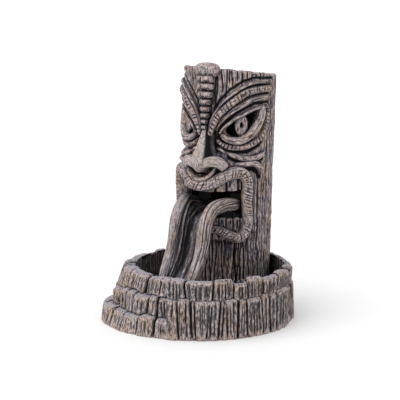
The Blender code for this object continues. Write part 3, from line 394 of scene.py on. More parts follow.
def woundCopper(name):
    # Enamelled copper wire, 0.5 mm turns laid side by side: fine bright lines
    made, shader, add = freshMaterial(name)
    place = add("TexCoord", {}, out="Object")
    turns = add("TexWave", {"Vector": place, "Scale": 310}, out="Fac", bands_direction="Z")
    colour = add("Mix", {0: turns, 6: "#5a2a12", 7: "#c8703a"}, out=2, data_type="RGBA")
    bumped = add("Bump", {"Strength": 0.8, "Distance": 0.0003, "Height": turns})
    connect(shader, Base_Color=colour, Normal=bumped)
    shader.inputs["Metallic"].default_value = 0.9
    shader.inputs["Roughness"].default_value = 0.35
    return made


def stackedIron(name):
    # Silicon steel sheets of 0.5 mm with a little rust: fine lines, brown stains
    made, shader, add = freshMaterial(name)
    place = add("TexCoord", {}, out="Object")
    sheets = add("TexWave", {"Vector": place, "Scale": 310}, out="Fac", bands_direction="Y")
    stain = add("TexNoise", {"Vector": place, "Scale": 300, "Detail": 3})
    mask = add("MapRange", {0: stain, 1: 0.5, 2: 0.7})
    colour = add("Mix", {0: mask, 6: "#8d8c8a", 7: "#6b4a35"}, out=2, data_type="RGBA")
    bumped = add("Bump", {"Strength": 0.7, "Distance": 0.0003, "Height": sheets})
    connect(shader, Base_Color=colour, Normal=bumped)
    shader.inputs["Metallic"].default_value = 0.85
    shader.inputs["Roughness"].default_value = 0.45
    return made


totemResin = dryBrushedResin("dryBrushedGreyResin", totemLook)
basinResin = dryBrushedResin("dryBrushedBrownResin", basinLook)
tongueResin = dryBrushedResin("dryBrushedPaleResin", tongueLook)
# Moulded pieces: two colours, roughness and the grit's size
blackAbs = mouldedPlastic("blackAbs", ("#0d0d0e", "#19191b"), 0.42, 0.35)
# The spout tray and the riser tube are black plastic, made darker than their own colour as painted shade
# inside the mouth
shadeBlackAbs = mouldedPlastic("mattBlackAbs", ("#040404", "#080808"), 0.7, 0.35)
greyAbs = mouldedPlastic("darkGreyAbs", ("#2a2b2e", "#37383c"), 0.45, 0.35)
shadeBlackVinyl = mouldedPlastic("blackSoftVinyl", ("#060607", "#0c0c0d"), 0.4, 0.8)
nitrileRubber = mouldedPlastic("nitrileRubber", ("#101011", "#1c1c1d"), 0.68, 0.25)
pressedFerrite = mouldedPlastic("pressedFerrite", ("#37373b", "#4a4a4f"), 0.55, 0.2)
groundAlumina = mouldedPlastic("groundAlumina", ("#dedbd3", "#efece6"), 0.25, 0.15)
castEpoxy = mouldedPlastic("castEpoxy", ("#0b0b0d", "#15151a"), 0.2, 1.5)
openFoam = filterFoam("reticulatedFoam")
copperWire = woundCopper("enamelledCopper")
coreSteel = stackedIron("siliconSteelSheets")

# What each node is made of; the rest are seals, bushings, a gland and suction cups, all of rubber
nodeFinish = {
    "pump_housing": greyAbs,
    "pump_chamber_cover": greyAbs,
    "outlet_nozzle": greyAbs,
    "intake_grille": blackAbs,
    "impeller": blackAbs,
    "flow_regulator": blackAbs,
    "spout_tray": shadeBlackAbs,
    "riser_tube": shadeBlackVinyl,
    "filter_sponge": openFoam,
    "rotor_magnet": pressedFerrite,
    "impeller_shaft": groundAlumina,
    "stator_core": coreSteel,
    "stator_coil": copperWire,
    "potting_block": castEpoxy,
}
for name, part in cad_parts.items():
    finish = nodeFinish.get(name, nitrileRubber)
    part.data.materials.clear()
    part.data.materials.append(finish)
print("finishes made")


def hatch(pitch, depth, slant=0.25, seed=6, wander=0.6):
    # Knife cuts across a strip, not quite evenly apart, with fibre between them
    def cut(where, across, around):
        drift = wander * streaks(where / 6, 0 * where, 1, seed)
        place = (where + slant * across) / pitch + drift
        line = bump(place % 1, 0.5, 0.15)
        strength = 0.55 + 0.45 * streaks(np.floor(place) * 1.7, 6 * around, 6, seed + 1)
        return -depth * line * strength + 0.35 * streaks(where / 6, around * 30, 30, seed + 2)

    return cut


def bark(depth, seed):
    # Short dry cracks in every direction
    def cut(where, across, around):
        short = np.clip(streaks(where / 1.5, around * 9, 9, seed) - 0.3, 0, 1)
        long = np.clip(streaks(where / 7, around * 34, 34, seed + 1) - 0.35, 0, 1)
        return -depth * (1.7 * short + 1.2 * long) + 0.3 * streaks(where / 4, around * 20, 20, seed + 2)

    return cut


def fibre(height, seed, length=12):
    # Long fibres along a strip
    def cut(where, across, around):
        wide = streaks(where / (length * 2.2), around * 13, 13, seed)
        return height * (streaks(where / length, around * 34, 34, seed + 1) + 0.8 * wide)

    return cut


def cutLine(angle, z, path, width, depth):
    # Depth of a groove along a line of (angle, height) points, alike on both sides of the nose
    meanRadius = 52
    arc = np.radians(np.abs(angle)) * meanRadius
    line = [(math.radians(a) * meanRadius, h) for a, h in path]
    best = np.full(arc.shape, np.inf)
    for (fromArc, fromZ), (toArc, toZ) in zip(line, line[1:]):
        runArc, runZ = toArc - fromArc, toZ - fromZ
        share = ((arc - fromArc) * runArc + (z - fromZ) * runZ) / (runArc**2 + runZ**2)
        share = np.clip(share, 0, 1)
        best = np.minimum(best, np.hypot(arc - fromArc - share * runArc, z - fromZ - share * runZ))
    return depth * bump(best, 0, width)


# Cuts between the carved strips: a line of (angle, height), its width and its depth
logCuts = [
    ([(92, 262), (62, 261), (45, 256), (29, 247), (16, 236), (11, 229)], 1.6, 1.8),
    ([(88, 254.5), (58, 253), (43, 247), (28, 238), (16, 227.5), (9, 217)], 1.2, 2.6),
    ([(86, 245.5), (55, 244), (42, 238), (28, 229.5), (17, 219), (10, 209)], 1.4, 3),
    ([(84, 235.5), (62, 234.5), (46, 229), (33, 222.5), (20, 212), (14, 203)], 1.6, 3.2),
    ([(80, 231), (76, 219), (68, 206.5), (56, 196), (38, 191.8), (20, 195), (14, 201)], 1.8, 3.6),
    ([(80, 203), (70, 190), (52, 184), (36, 185), (22, 189)], 3, 4),
    ([(30, 178), (48, 171), (62, 172), (77, 174.5)], 2.6, 3.6),
    ([(50, 164.5), (60, 165), (68, 161.5), (72, 155)], 2.8, 4),
    ([(69.5, 158), (69.5, 130), (70.5, 100), (69, 74)], 1.1, 3),
    ([(75, 176), (75, 168)], 1.0, 2.6),
    ([(82, 150), (80, 120), (79, 90), (81, 60), (80, 20)], 0.8, 1.8),
    ([(86, 262), (87, 200), (85, 150)], 0.8, 1.6),
    ([(12, 262), (11.5, 240), (8.5, 215)], 1.4, 0.9),
]
# Checks from the top edge down the forehead: angle and length
foreheadChecks = [
    (12, 30), (18.5, 26), (24, 40), (28.6, 14), (33, 18), (38, 12), (44.5, 16), (51, 9), (57, 13),
    (63, 8), (70, 11), (77, 8), (-13, 26), (-18, 15), (-24, 30), (-32, 14), (-41, 20), (-52, 12),
    (-63, 14),
]
crackShape = {
    "seed": 11,
    "forehead": (0.6, 2.4),  # width and depth
    "back": (46, 0.8, 2),  # how many, width and depth
    "foot": (30, 0.8, 2.1),
}


def logCracks():
    # Angle, lower and upper end, width and depth of each
    dice = np.random.default_rng(crackShape["seed"])
    width, depth = crackShape["forehead"]
    cracks = [(angle, logTop - length, logTop + 9, width, depth) for angle, length in foreheadChecks]
    count, width, depth = crackShape["back"]
    for _ in range(count):
        low = dice.uniform(0, 200)
        cracks.append((dice.uniform(82, 278), low, low + dice.uniform(30, 150), width, depth))
    count, width, depth = crackShape["foot"]
    for _ in range(count):
        cracks.append((dice.uniform(-80, 80), dice.uniform(-10, 45), dice.uniform(70, 104), width, depth))
    return cracks


allCracks = logCracks()
# Ridges of the bark: height, length, how many go round, seed, and the share that the face loses
barkLayers = ((0.8, 90, 22, 3, 0.7), (0.42, 40, 80, 4, 0.5), (0.42, 16, 185, 5, 0.45), (0.3, 5, 330, 6, 0.45))
barkTrim = 0.6  # taken off all over
# How far each form of the face stands out, or in
faceForms = {"muzzle": 9, "cheeks": 3, "mouth": -6.5, "chin": -3, "noseSides": -5.5}


def faceRelief(angle, z):
    side = np.abs(angle)
    out = faceForms["muzzle"] * bump(angle, 0, 25) * bump(z, 168, 13)
    out = out + faceForms["cheeks"] * bump(side, 33, 13) * bump(z, 164, 8)
    out = out + faceForms["mouth"] * fade(side, 45, 51) * ease(z, 90, 96) * fade(z, 157, 162)
    out = out + faceForms["chin"] * fade(side, 30, 46) * fade(z, 82, 90) * ease(z, 30, 76)
    return out + faceForms["noseSides"] * bump(side, 11.5, 4.5) * ease(z, 180, 190) * fade(z, 204, 213)


def carvedLog(angle, z):
    # How far the log's skin stands out from its plain taper
    around = (angle + 180) / 360
    face = fade(np.abs(angle), 72, 84) * ease(z, 96, 106)
    out = faceRelief(angle, z) - barkTrim
    for height, length, count, seed, lost in barkLayers:
        out = out + height * streaks(z / length, around * count, count, seed) * (1 - lost * face)
    for path, width, depth in logCuts:
        out = out - cutLine(angle, z, path, width, depth)
    for middle, low, high, width, depth in allCracks:
        wander = middle + 1.3 * np.sin(z / 17 + middle) + 0.5 * np.sin(z / 5.3 + middle * 3)
        gap = (angle - wander + 180) % 360 - 180
        ends = ease(z, low, low + 0.25 * (high - low)) * fade(z, high - 6, high)
        out = out - depth * ends * bump(gap, 0, width)
    return out


def fitted(angle, radius, limit):
    # The radius towards that angle, kept inside a circle round the basin's middle
    turn = np.radians(angle)
    reach = logY * np.cos(turn) + np.sqrt(limit**2 - (logY * np.sin(turn)) ** 2)
    return np.minimum(radius, reach)


def makeLog():
    # One skin from the hollow's ceiling down its wall, round the foot, up the bark and over the top
    s = logShape
    back = s["backColumns"]
    front = np.arange(-96, 96.5, s["pitch"])
    angles = np.concatenate([np.linspace(-180, -98, back), front, np.linspace(98, 180, back)])
    turn = np.radians(angles)
    flat = np.zeros(angles.shape)
    around = (angles + 180) / 360
    rows = []

    def ring(radius, height):
        high = height + flat
        rows.append(np.stack([radius * np.sin(turn), logY - radius * np.cos(turn), high], 1))

    ceiling = logTop - s["roof"]
    ledge = s["ledge"]
    for radius in (0, 12, 24, 34, 41):
        ring(radius + flat, ceiling)
    aboveLedge = [*np.linspace(ceiling - 1, ledge + 6, 20), ledge + 5.4]
    for height in [*aboveLedge, *np.linspace(ledge + 2, logFoot, 6)]:
        inner = logRadius(height) - s["wall"]
        radius = inner + 0.5 * streaks(height / 20 + flat, around * 40, 40, 8)
        radius = np.minimum(radius, inner - 2 * fade(np.abs(angles), 50, 60) * bump(height, 130, 40))
        inRoom = height < ledge + 5.5
        ring(fitted(angles, radius, s["poolFit"] - s["wall"]) if inRoom else radius, height)
    insideRows = len(rows) - 1
    belowLedge = [*np.arange(logFoot, ledge - 1, 1.5), ledge - 0.4, ledge]
    for height in [*belowLedge, *np.arange(ledge + 1, logTop - 2, s["pitch"])]:
        radius = logRadius(height) + carvedLog(angles, height + flat)
        if height < ledge:
            radius = fitted(angles, np.minimum(radius, logRadius(height) + 0.6), s["poolFit"])
        ring(radius, height)
    edge = logRadius(logTop) + carvedLog(angles, logTop - 1 + flat)
    uneven = 0.6 * streaks(flat, around * 60, 60, 21)
    for inset, drop in ((0, 1.6), (0.4, 0.8), (1.1, 0.2), (2.1, 0), (3.4, 0), (5, 0.3)):
        ring(edge - inset, logTop - drop + uneven)
    for radius in (43, 40, 36, 32, 27, 21, 15, 9, 4):
        checks = np.minimum(0, streaks(flat, around * 48, 48, 31) + 0.35) * radius / 46
        growth = s["ringRelief"] * math.sin(radius * 1.4)
        ring(radius + flat, logTop - 0.5 + growth + s["topChecks"] * checks)
    ring(flat, logTop - 0.4)
    points = np.array(rows)
    # the top leans, and the lean dies out 60 mm down the bark
    outside = np.arange(len(rows)) > insideRows
    lean = ease(points[..., 2], logTop - 60, logTop + 10) / ease(logTop, logTop - 60, logTop + 10)
    fall = s["topSlope"] * points[..., 0] + s["backSlope"] * (points[..., 1] - logY - 12)
    points[..., 2] -= fall * lean * outside[:, None]
    return net("totemLog", points, points[..., [2, 0, 1]], totemResin)


def cutAway(obj, cutter):
    select(obj)
    hole = obj.modifiers.new("hole", "BOOLEAN")
    hole.operation = "DIFFERENCE"
    hole.solver = "MANIFOLD"
    hole.object = cutter
    bpy.ops.object.modifier_apply(modifier="hole")
    bpy.data.objects.remove(cutter)


def boxAt(name, low, high):
    bpy.ops.object.select_all(action="DESELECT")
    bpy.ops.mesh.primitive_cube_add(size=1)
    obj = bpy.context.object
    obj.name = name
    low, high = Vector(low), Vector(high)
    for vertex in obj.data.vertices:
        vertex.co = Vector((low[i] + (vertex.co[i] + 0.5) * (high[i] - low[i]) for i in range(3))) * mm
    return obj


logHoles = {
    # outline of the eye's opening as (angle, height), from its inner corner
    "eye": [
        (23.5, 206), (26, 202.6), (33, 199.6), (41, 199.4), (50, 202.6), (57, 208), (62.5, 215.5),
        (65.5, 222.5), (66.5, 227.6), (60, 226.6), (47, 221.6), (35, 216.4), (26, 210.5), (23.5, 206),
    ],
    "eyeDepth": (38, 48, 62),  # radii that the cutter runs between, and one on the way
    "mouth": ((-36, -20, 116.5), (36, 22, 143.5)),
    "cable": ((-5, 60, 61.4), (5, 110, 72.4)),
    "archAngles": (-50, 0, 50),
    "archRadius": 6,
    "archRise": 5,  # of its middle above the foot
    "archLength": 30,
}


def makeLogHoles():
    near, middle, far = logHoles["eyeDepth"]
    for mirror in (-1, 1):
        outline = np.array(logHoles["eye"])
        centre = outline[:-1].mean(0)
        rows = []
        for radius, share in ((near, 0), (near, 1), (middle, 1), (far, 1), (far, 0)):
            ring = centre + (outline - centre) * share
            rows.append(onLog(mirror * ring[:, 0], ring[:, 1], radius))
        points = np.array(rows)
        cutAway(totemLog, net("eyeCutter", points, points, totemResin))
    cutAway(totemLog, boxAt("mouthCutter", *logHoles["mouth"]))
    for angle in logHoles["archAngles"]:
        bpy.ops.object.select_all(action="DESELECT")
        size = {"radius": logHoles["archRadius"] * mm, "depth": logHoles["archLength"] * mm}
        bpy.ops.mesh.primitive_cylinder_add(vertices=32, **size)
        arch = bpy.context.object
        arch.rotation_euler = (math.pi / 2, 0, math.radians(angle))
        arch.location = Vector(onLog(angle, logFoot + logHoles["archRise"], 44)) * mm
        bpy.ops.object.transform_apply(location=True, rotation=True, scale=True)
        cutAway(totemLog, arch)
    cutAway(totemLog, boxAt("cableCutter", *logHoles["cable"]))


totemLog = makeLog()
makeLogHoles()
print("log carved", len(totemLog.data.polygons))

# Strips of the face, each as (angle, height, radius of its middle, half width, thickness) knots
faceStrips = {
    "browLine": [
        (91, 258, 50.2, 1.5, 2.2), (59, 257, 50.2, 1.7, 2.6), (44, 252, 50.2, 1.7, 2.8),
        (29, 243, 50.5, 1.7, 3), (16, 231, 51, 1.6, 3), (8, 218, 52, 1.5, 3), (5, 206, 54, 1.2, 2),
    ],
    "browBand": [
        (88, 250, 50, 3.6, 4.2), (54, 248, 50.2, 3.8, 4.8), (40, 242, 50.5, 3.8, 5),
        (27, 233, 51, 3.7, 5.4), (16, 223, 51.5, 3.4, 5.6), (9.5, 212, 52.5, 3, 4.6),
        (5.5, 201, 54, 2, 3),
    ],
    "browFold": [
        (88, 241, 49.6, 2.9, 2.6), (61, 240, 49.7, 2.9, 2.9), (45, 234, 49.8, 2.9, 3),
        (30, 226, 50, 2.7, 3), (17, 215, 50, 2.2, 2.6), (12, 206, 50, 1.4, 2),
    ],
    "upperLid": [
        (84, 230.5, 49.5, 1.4, 2.6), (61, 229.3, 49.5, 1.6, 3), (47, 224.3, 49.6, 1.6, 3.2),
        (35, 219, 49.7, 1.6, 3.2), (23, 211, 49.8, 1.5, 3), (16, 203, 49.6, 1.2, 2.2),
    ],
    "lowerLid": [
        (73.5, 233, 48.4, 2.6, 3), (72.5, 226, 49.2, 3.9, 4.4), (68, 215, 49.4, 4.3, 4.8),
        (57, 203, 49.4, 4.3, 5), (42, 195.8, 49.4, 4, 5), (27, 197, 49, 3.4, 4.2),
        (18, 202.5, 49, 2.2, 3),
    ],
    "lowerBand": [
        (85, 230, 49.5, 2.2, 2), (81, 212, 49.4, 2.8, 2.6), (71, 198.5, 49.3, 3, 3),
        (51, 189.6, 49.2, 3, 3.4), (32, 188.6, 49.2, 2.8, 3.4), (20, 191.5, 49.2, 2.3, 3),
        (13, 197, 49, 1.3, 2),
    ],
    "cheekRidge": [
        (25, 183.5, 48, 0.8, 2), (33, 180, 48.6, 2.5, 4), (50, 176, 48.8, 3, 4.8),
        (64, 176.5, 48.8, 2.9, 4.4), (79, 180.5, 48.4, 2.2, 3),
    ],
    "cheekLeaf": [
        (34, 170, 48, 1.5, 3), (46, 170.5, 49, 3, 6), (58, 171, 49, 3.4, 6.4), (68, 167, 48.8, 3, 5.6),
        (75, 158, 48.2, 1.6, 3),
    ],
    "underEyeWedge": [(13, 187.5, 48, 1.4, 2.4), (19, 185.6, 48.2, 2, 3.4), (24, 182.6, 48, 1.2, 2.4)],
    "noseWing": [
        (0, 171, 68.6, 4, 4.6), (5.5, 173.6, 66.5, 5, 5.4), (11.5, 175, 62.6, 5.4, 5.8),
        (17, 174, 59.6, 5.4, 5.8), (21.5, 170.6, 57.6, 5.3, 5.6), (24.5, 167, 56.4, 5, 5.2),
    ],
    "underNoseRoll": [
        (-24, 173, 54.5, 1.4, 3), (-19, 167, 58, 2.2, 3.8), (-12, 159.6, 61.5, 2.5, 4),
        (-4, 155.6, 63.6, 2.7, 4.2), (4, 155.8, 63.4, 2.7, 4.2), (10, 160.4, 61.2, 2.4, 4),
        (13.5, 166.5, 58.6, 1.9, 3.4), (15.5, 171.5, 56, 1.2, 3),
    ],
    # one half of the ring of lips, from the chin up round the corner to under the nose
    "lips": [
        (0, 100, 53, 4, 5), (10, 100, 52.6, 4.4, 5.5), (20, 98, 52.2, 4.8, 6.2),
        (30, 93.8, 52, 5.2, 6.8), (39, 91, 52, 5.5, 7.2), (46, 95, 52, 5.6, 7.2),
        (50, 104, 52.2, 5.6, 7.2), (50.8, 116, 52.4, 5.5, 7.2), (49.4, 130, 52.6, 5.5, 7.4),
        (50, 144, 53, 5.8, 7.4), (49.4, 154, 53, 6, 7.4), (43, 161.5, 53.4, 6.3, 7.6),
        (31, 161.5, 54.6, 6.5, 8), (20, 156.6, 57.4, 6.4, 8.2), (10, 150.8, 60.6, 6.2, 8),
        (0, 148.6, 62, 6, 8),
    ],
}
carvings = []
for name, steps, carve in (
    ("browLine", 130, fibre(0.25, 41)),
    ("browBand", 260, hatch(4.3, 2.8, 0.25, 6, 0.25)),
    ("browFold", 150, fibre(0.4, 43)),
    ("upperLid", 120, fibre(0.25, 45)),
    ("lowerLid", 150, fibre(0.35, 47)),
    ("lowerBand", 230, hatch(4, 1.9, 0.1, 8, 0.3)),
    ("cheekRidge", 110, hatch(4.3, 0.7, 0.5)),
    ("cheekLeaf", 90, fibre(0.4, 51)),
    ("underEyeWedge", 40, fibre(0.3, 53)),
):
    carvings += both(name, faceStrips[name], totemResin, steps, carve=carve, square=2.5)
print("brows and lids done")

noseShape = {
    # rows down the nose: height, how far forward, half width, how boxy
    "rows": [
        (220, 50, 0.5, 2), (214, 53, 2.2, 3), (204, 58, 3, 7), (194, 63.4, 4.6, 8), (186, 68.2, 6, 8),
        (180, 71.8, 7.2, 7), (175.5, 74, 8.4, 5), (171.5, 74.4, 8.6, 3.4), (167.5, 72.8, 6.6, 2.4),
        (164, 69.6, 3.6, 2), (162.8, 64, 1, 2),
    ],
    "steps": 110,
    "root": 44,  # radius that the nose stands on, inside the log's skin
    "flare": 0.45,  # how much wider its root is than its front
    "longLines": 0.22,
    "shortLines": 0.14,
}


def makeNose():
    s = noseShape
    line, _ = through([(0, -forward, z, half, box) for z, forward, half, box in s["rows"]], s["steps"])
    turn = np.linspace(0, 2 * np.pi, 65)
    around = turn / (2 * np.pi)
    middle = logY - s["root"]
    rows = []
    for i, (_, place, z, half, box) in enumerate(line):
        depth = (-place - s["root"]) / 2
        share = boxy(np.sin(turn), box)
        wide = 1 + s["flare"] * ease(-share, -0.6, 0.9)
        x = boxy(np.cos(turn), box) * half * wide
        lines = s["longLines"] * streaks(z / 9 + 0 * x, around * 40, 40, 61)
        lines = lines + s["shortLines"] * streaks(z / 1.6 + 0 * x, around * 20, 20, 62)
        full = 0 if i in (0, len(line) - 1) else 1  # the first and last rows are points
        rows.append(np.stack([x * full, middle - depth - (depth + lines) * share * full, z + 0 * x], 1))
    points = np.array(rows)
    return net("noseBridge", points, points[..., [2, 0, 1]], tongueResin)


carvings.append(makeNose())
wingCarve = bark(0.5, 63)
carvings += both(
    "noseWing", faceStrips["noseWing"], tongueResin, 110, sides=36, carve=wingCarve, square=5, blunt=0.35
)
carvings.append(
    strip("underNoseRoll", faceStrips["underNoseRoll"], totemResin, 110, carve=bark(0.4, 67))
)
print("nose done")

halfLips = faceStrips["lips"]
wholeLips = halfLips + [(-angle, *rest) for angle, *rest in halfLips[-2::-1]]
lipCarve = hatch(3.4, 1.6, 0.3, 65, 0.4)
carvings.append(strip("lips", wholeLips, totemResin, 620, sides=44, carve=lipCarve, square=2.3))

toothShape = {
    "upperGaps": (-53, -40, -26, -14, 0, 14, 25, 39, 52),  # angles between the upper teeth
    "upperFoot": 141.4,
    "upperTop": 160,
    "upperRadius": 49.6,
    "muzzle": 8,  # how far the middle ones stand forward
    "lowerGaps": (-51, -42, -33.5, -25, -16, -8, 0, 8, 16, 25, 33.5, 42, 51),
    "lowerFoot": 88,
    "lowerTop": 113,
    "lowerRadius": 48.2,
}


def tooth(name, angle, low, high, radius, half, seed):
    heights = ((low, 3.2), ((low + high) / 2, 3.4), (high, 3.4))
    knots = [(angle, z, radius, half, thick) for z, thick in heights]
    return strip(name, knots, totemResin, 44, sides=36, carve=fibre(0.35, seed, 5), square=7, blunt=0.16)


def makeTeeth():
    s = toothShape
    made = []
    for i, (start, stop) in enumerate(zip(s["upperGaps"], s["upperGaps"][1:])):
        middle = (start + stop) / 2
        bulge = s["muzzle"] * bump(middle, 0, 24)
        low = s["upperFoot"] + 1.6 * ease(abs(middle), 20, 50)
        half = math.radians(stop - start) * (47 + bulge) * 0.47
        radius = s["upperRadius"] + bulge
        made.append(tooth(f"upperTooth{i + 1}", middle, low, s["upperTop"], radius, half, 70 + i))
    for i, (start, stop) in enumerate(zip(s["lowerGaps"], s["lowerGaps"][1:])):
        middle = (start + stop) / 2
        high = s["lowerTop"] - 0.8 * (i % 2)
        half = math.radians(stop - start) * 46 * 0.46
        made.append(tooth(f"lowerTooth{i + 1}", middle, s["lowerFoot"], high, s["lowerRadius"], half, 90 + i))
    return made


carvings += makeTeeth()
print("mouth done")

crestShape = {
    "knob": (270, 14.2, 16.6),  # height of its middle, half width, height
    "blocks": [
        (261, 9.7, 8.6), (253, 8.9, 8), (244.6, 7.6, 7.8), (236.6, 5.7, 7), (229.2, 4.9, 6.4),
        (222.4, 4.3, 6), (216, 3.4, 5.6), (210, 3.1, 5),
    ],
    "cuts": 15,  # across each side of a cube
    "stands": (50.5, 53.4),  # radius of the middle of the knob, and of a block
    "lift": (9, 6),  # half thickness of the knob, and of a block
    "boxy": (2.5, 3.4),
    "notch": 1.3,
    "undercut": 1.4,
}


def makeCrest():
    # A knob on the top edge and a row of pillow blocks that shrink towards the brows
    s = crestShape
    made = []
    for i, (z, wide, tall) in enumerate([s["knob"], *s["blocks"]]):
        bpy.ops.object.select_all(action="DESELECT")
        bpy.ops.mesh.primitive_cube_add(size=1)
        obj = bpy.context.object
        obj.name = f"crestBlock{i}" if i else "crestKnob"
        obj.data.name = obj.name
        bpy.ops.object.mode_set(mode="EDIT")
        bpy.ops.mesh.select_all(action="SELECT")
        bpy.ops.mesh.subdivide(number_cuts=s["cuts"])
        bpy.ops.object.mode_set(mode="OBJECT")
        stand, lift, power = (s[key][min(i, 1)] for key in ("stands", "lift", "boxy"))
        where = np.array([vertex.co for vertex in obj.data.vertices])
        bulk = (np.abs(where * 2) ** power).sum(1) ** (1 / power)
        where = where / np.maximum(bulk, 0.001)[:, None] * np.abs(where * 2).max(1)[:, None]
        x = where[:, 0] * 2 * wide
        up = where[:, 2] * tall
        out = -where[:, 1] * 2 * lift
        front = np.clip(-where[:, 1] * 2, 0, 1)
        low = -where[:, 2]
        notch = bump((x / 2.1 + 0.3 * i) % 1, 0.5, 0.2) * ease(low, -0.1, 0.25)
        out -= (s["notch"] * notch + s["undercut"] * ease(low, 0.05, 0.5)) * front
        out += 0.3 * streaks(up / 3, x * 0.8 + 40, 90, 120 + i)
        spots = onLog(np.degrees(x / (stand + out)), z + up, stand + out)
        obj.data.vertices.foreach_set("co", (spots * mm).astype(np.float32).ravel())
        dress(obj, np.stack([up, x, out], 1), totemResin)
        made.append(obj)
    return made


carvings += makeCrest()

eyeDisc = {
    "place": (44.5, 212),  # angle and height of its middle
    "stands": 46.6,
    "hole": (1.9, 3.2),  # half width and half height
    "size": (7.7, 10.6),
    "point": 0.16,  # how far its ends are drawn out
    # from the back of the hole over the front to the back: share of the way out, and height
    "section": (
        (0, -1.2), (0, 0.6), (0.1, 1.2), (0.3, 1.5), (0.6, 1.4), (0.85, 1), (0.96, 0.4), (1, -0.6),
        (0.9, -1.6), (0.3, -1.6), (0, -1.2),
    ),
}


def makeEyeDisc(name, mirror):
    # A pointed oval plate with a hole, set across the opening
    s = eyeDisc
    middle, height = s["place"]
    turn = np.linspace(0, 2 * np.pi, 73)
    rows = []
    for share, out in s["section"]:
        wide, tall = (hole + (size - hole) * share for hole, size in zip(s["hole"], s["size"]))
        point = 1 + s["point"] * share * np.abs(np.sin(turn)) ** 8
        x = wide * np.cos(turn)
        z = height + tall * np.sin(turn) * point + 0.12 * x * share
        lines = 0.2 * streaks(turn * 0 + share * 4, turn / (2 * np.pi) * 40, 40, 131) * (out > 0)
        rows.append(onLog(mirror * (middle + np.degrees(x / 50)), z, s["stands"] + out + lines))
    points = np.array(rows)
    return net(name, points, points[..., [2, 0, 1]], totemResin)


carvings += [makeEyeDisc("eyeDiscLeft", 1), makeEyeDisc("eyeDiscRight", -1)]
print("carvings done", len(carvings))

tongueShape = {
    # rows along the tongue: y, z, half the spread of its ridges, their radius, the channel's depth
    "rows": [
        (20, 123.5, 27, 4, 6), (8, 126, 29, 5, 8), (0, 127.5, 28.5, 6.4, 10), (-8, 128.6, 26, 7, 12),
        (-16, 128.4, 23, 7.4, 13), (-26, 126.4, 20, 7.6, 13), (-34, 121.6, 18.2, 7.6, 12),
        (-40, 113.6, 17.7, 7.5, 11), (-43.6, 104, 17.7, 7.4, 10.5), (-46.6, 92, 17.6, 7.2, 9.5),
        (-51, 80, 17.4, 7, 8.5), (-57, 70, 17.2, 6.8, 7), (-64, 60, 17, 6.4, 5.5),
        (-70, 53, 16.6, 5, 3),
    ],
    # half of the section: shares of the spread, of the ridge's radius sideways and outwards, of the depth
    "section": [
        (0, 0, -0.95, -0.75), (0.5, 0, -1.05, -0.3), (1, 0, -1.1, 0), (1, 0.75, -0.75, 0), (1, 1, 0, 0),
        (1, 0.72, 0.72, 0), (1, 0, 1, 0), (1, -0.62, 0.74, 0), (1, -0.98, 0.1, -0.05),
        (0.8, -0.75, 0, -0.4), (0.42, -0.2, 0, -0.85), (0, 0, 0, -1),
    ],
    "steps": 300,
    "sides": 193,
    # height, length, how many go round and seed of the fibres
    "fibres": ((0.75, 60, 20, 141), (0.5, 22, 46, 142), (0.3, 9, 70, 143)),
    "cuts": (0.2, 0.27, 0.33, 0.4, 0.6, 0.66, 0.74, 0.81),  # how far round the section each runs
    "cutDepth": 1.1,
    "cutWidth": 0.006,
    "foot": 50,  # nothing hangs below this height
}


def makeTongue():
    # Two rolled ridges with a channel between them
    s = tongueShape
    line, where = through([(0, *row) for row in s["rows"]], s["steps"])
    tangent = unit(np.gradient(line[:, :3], axis=0))
    normal = np.stack([0 * where, tangent[:, 2], -tangent[:, 1]], 1)
    loop = s["section"] + [(-a, -b, c, d) for a, b, c, d in s["section"][-2:0:-1]]
    smooth, _ = through(loop + loop[:1], s["sides"])
    around = np.linspace(0, 1, s["sides"])[None, :]
    along = where[:, None]
    spread, roll, depth = (line[:, i, None] for i in (3, 4, 5))
    across = smooth[None, :, 0] * spread + smooth[None, :, 1] * roll
    out = smooth[None, :, 2] * roll + smooth[None, :, 3] * depth
    centre = np.hypot(across, out + 2) + 0.01
    fibres = 0
    for height, length, count, seed in s["fibres"]:
        fibres = fibres + height * streaks(along / length, around * count + 0 * across, count, seed)
    for place in s["cuts"]:
        drift = place + 0.006 * np.sin(along / 14 + place * 40)
        fibres = fibres - s["cutDepth"] * bump(around - drift, 0, s["cutWidth"])
    ends = np.clip(np.minimum(along, where[-1] - along) / 3, 0, 1) ** 0.5
    ends[0] = ends[-1] = 0
    across = across * (0.9 + 0.1 * ends) * (ends > 0) + fibres * across / centre
    out = out * ends + fibres * (out + 2) / centre
    across[0] = across[-1] = out[0] = out[-1] = 0
    sideways = np.stack([across, 0 * across, 0 * across], -1)
    points = line[:, None, :3] + sideways + normal[:, None, :] * out[..., None]
    points[..., 2] = np.maximum(points[..., 2], s["foot"])
    grain = np.stack([along + 0 * across, across, out], -1)
    return net("tongueChannel", points, grain, tongueResin)


tongue = makeTongue()
print("tongue done", len(tongue.data.polygons))

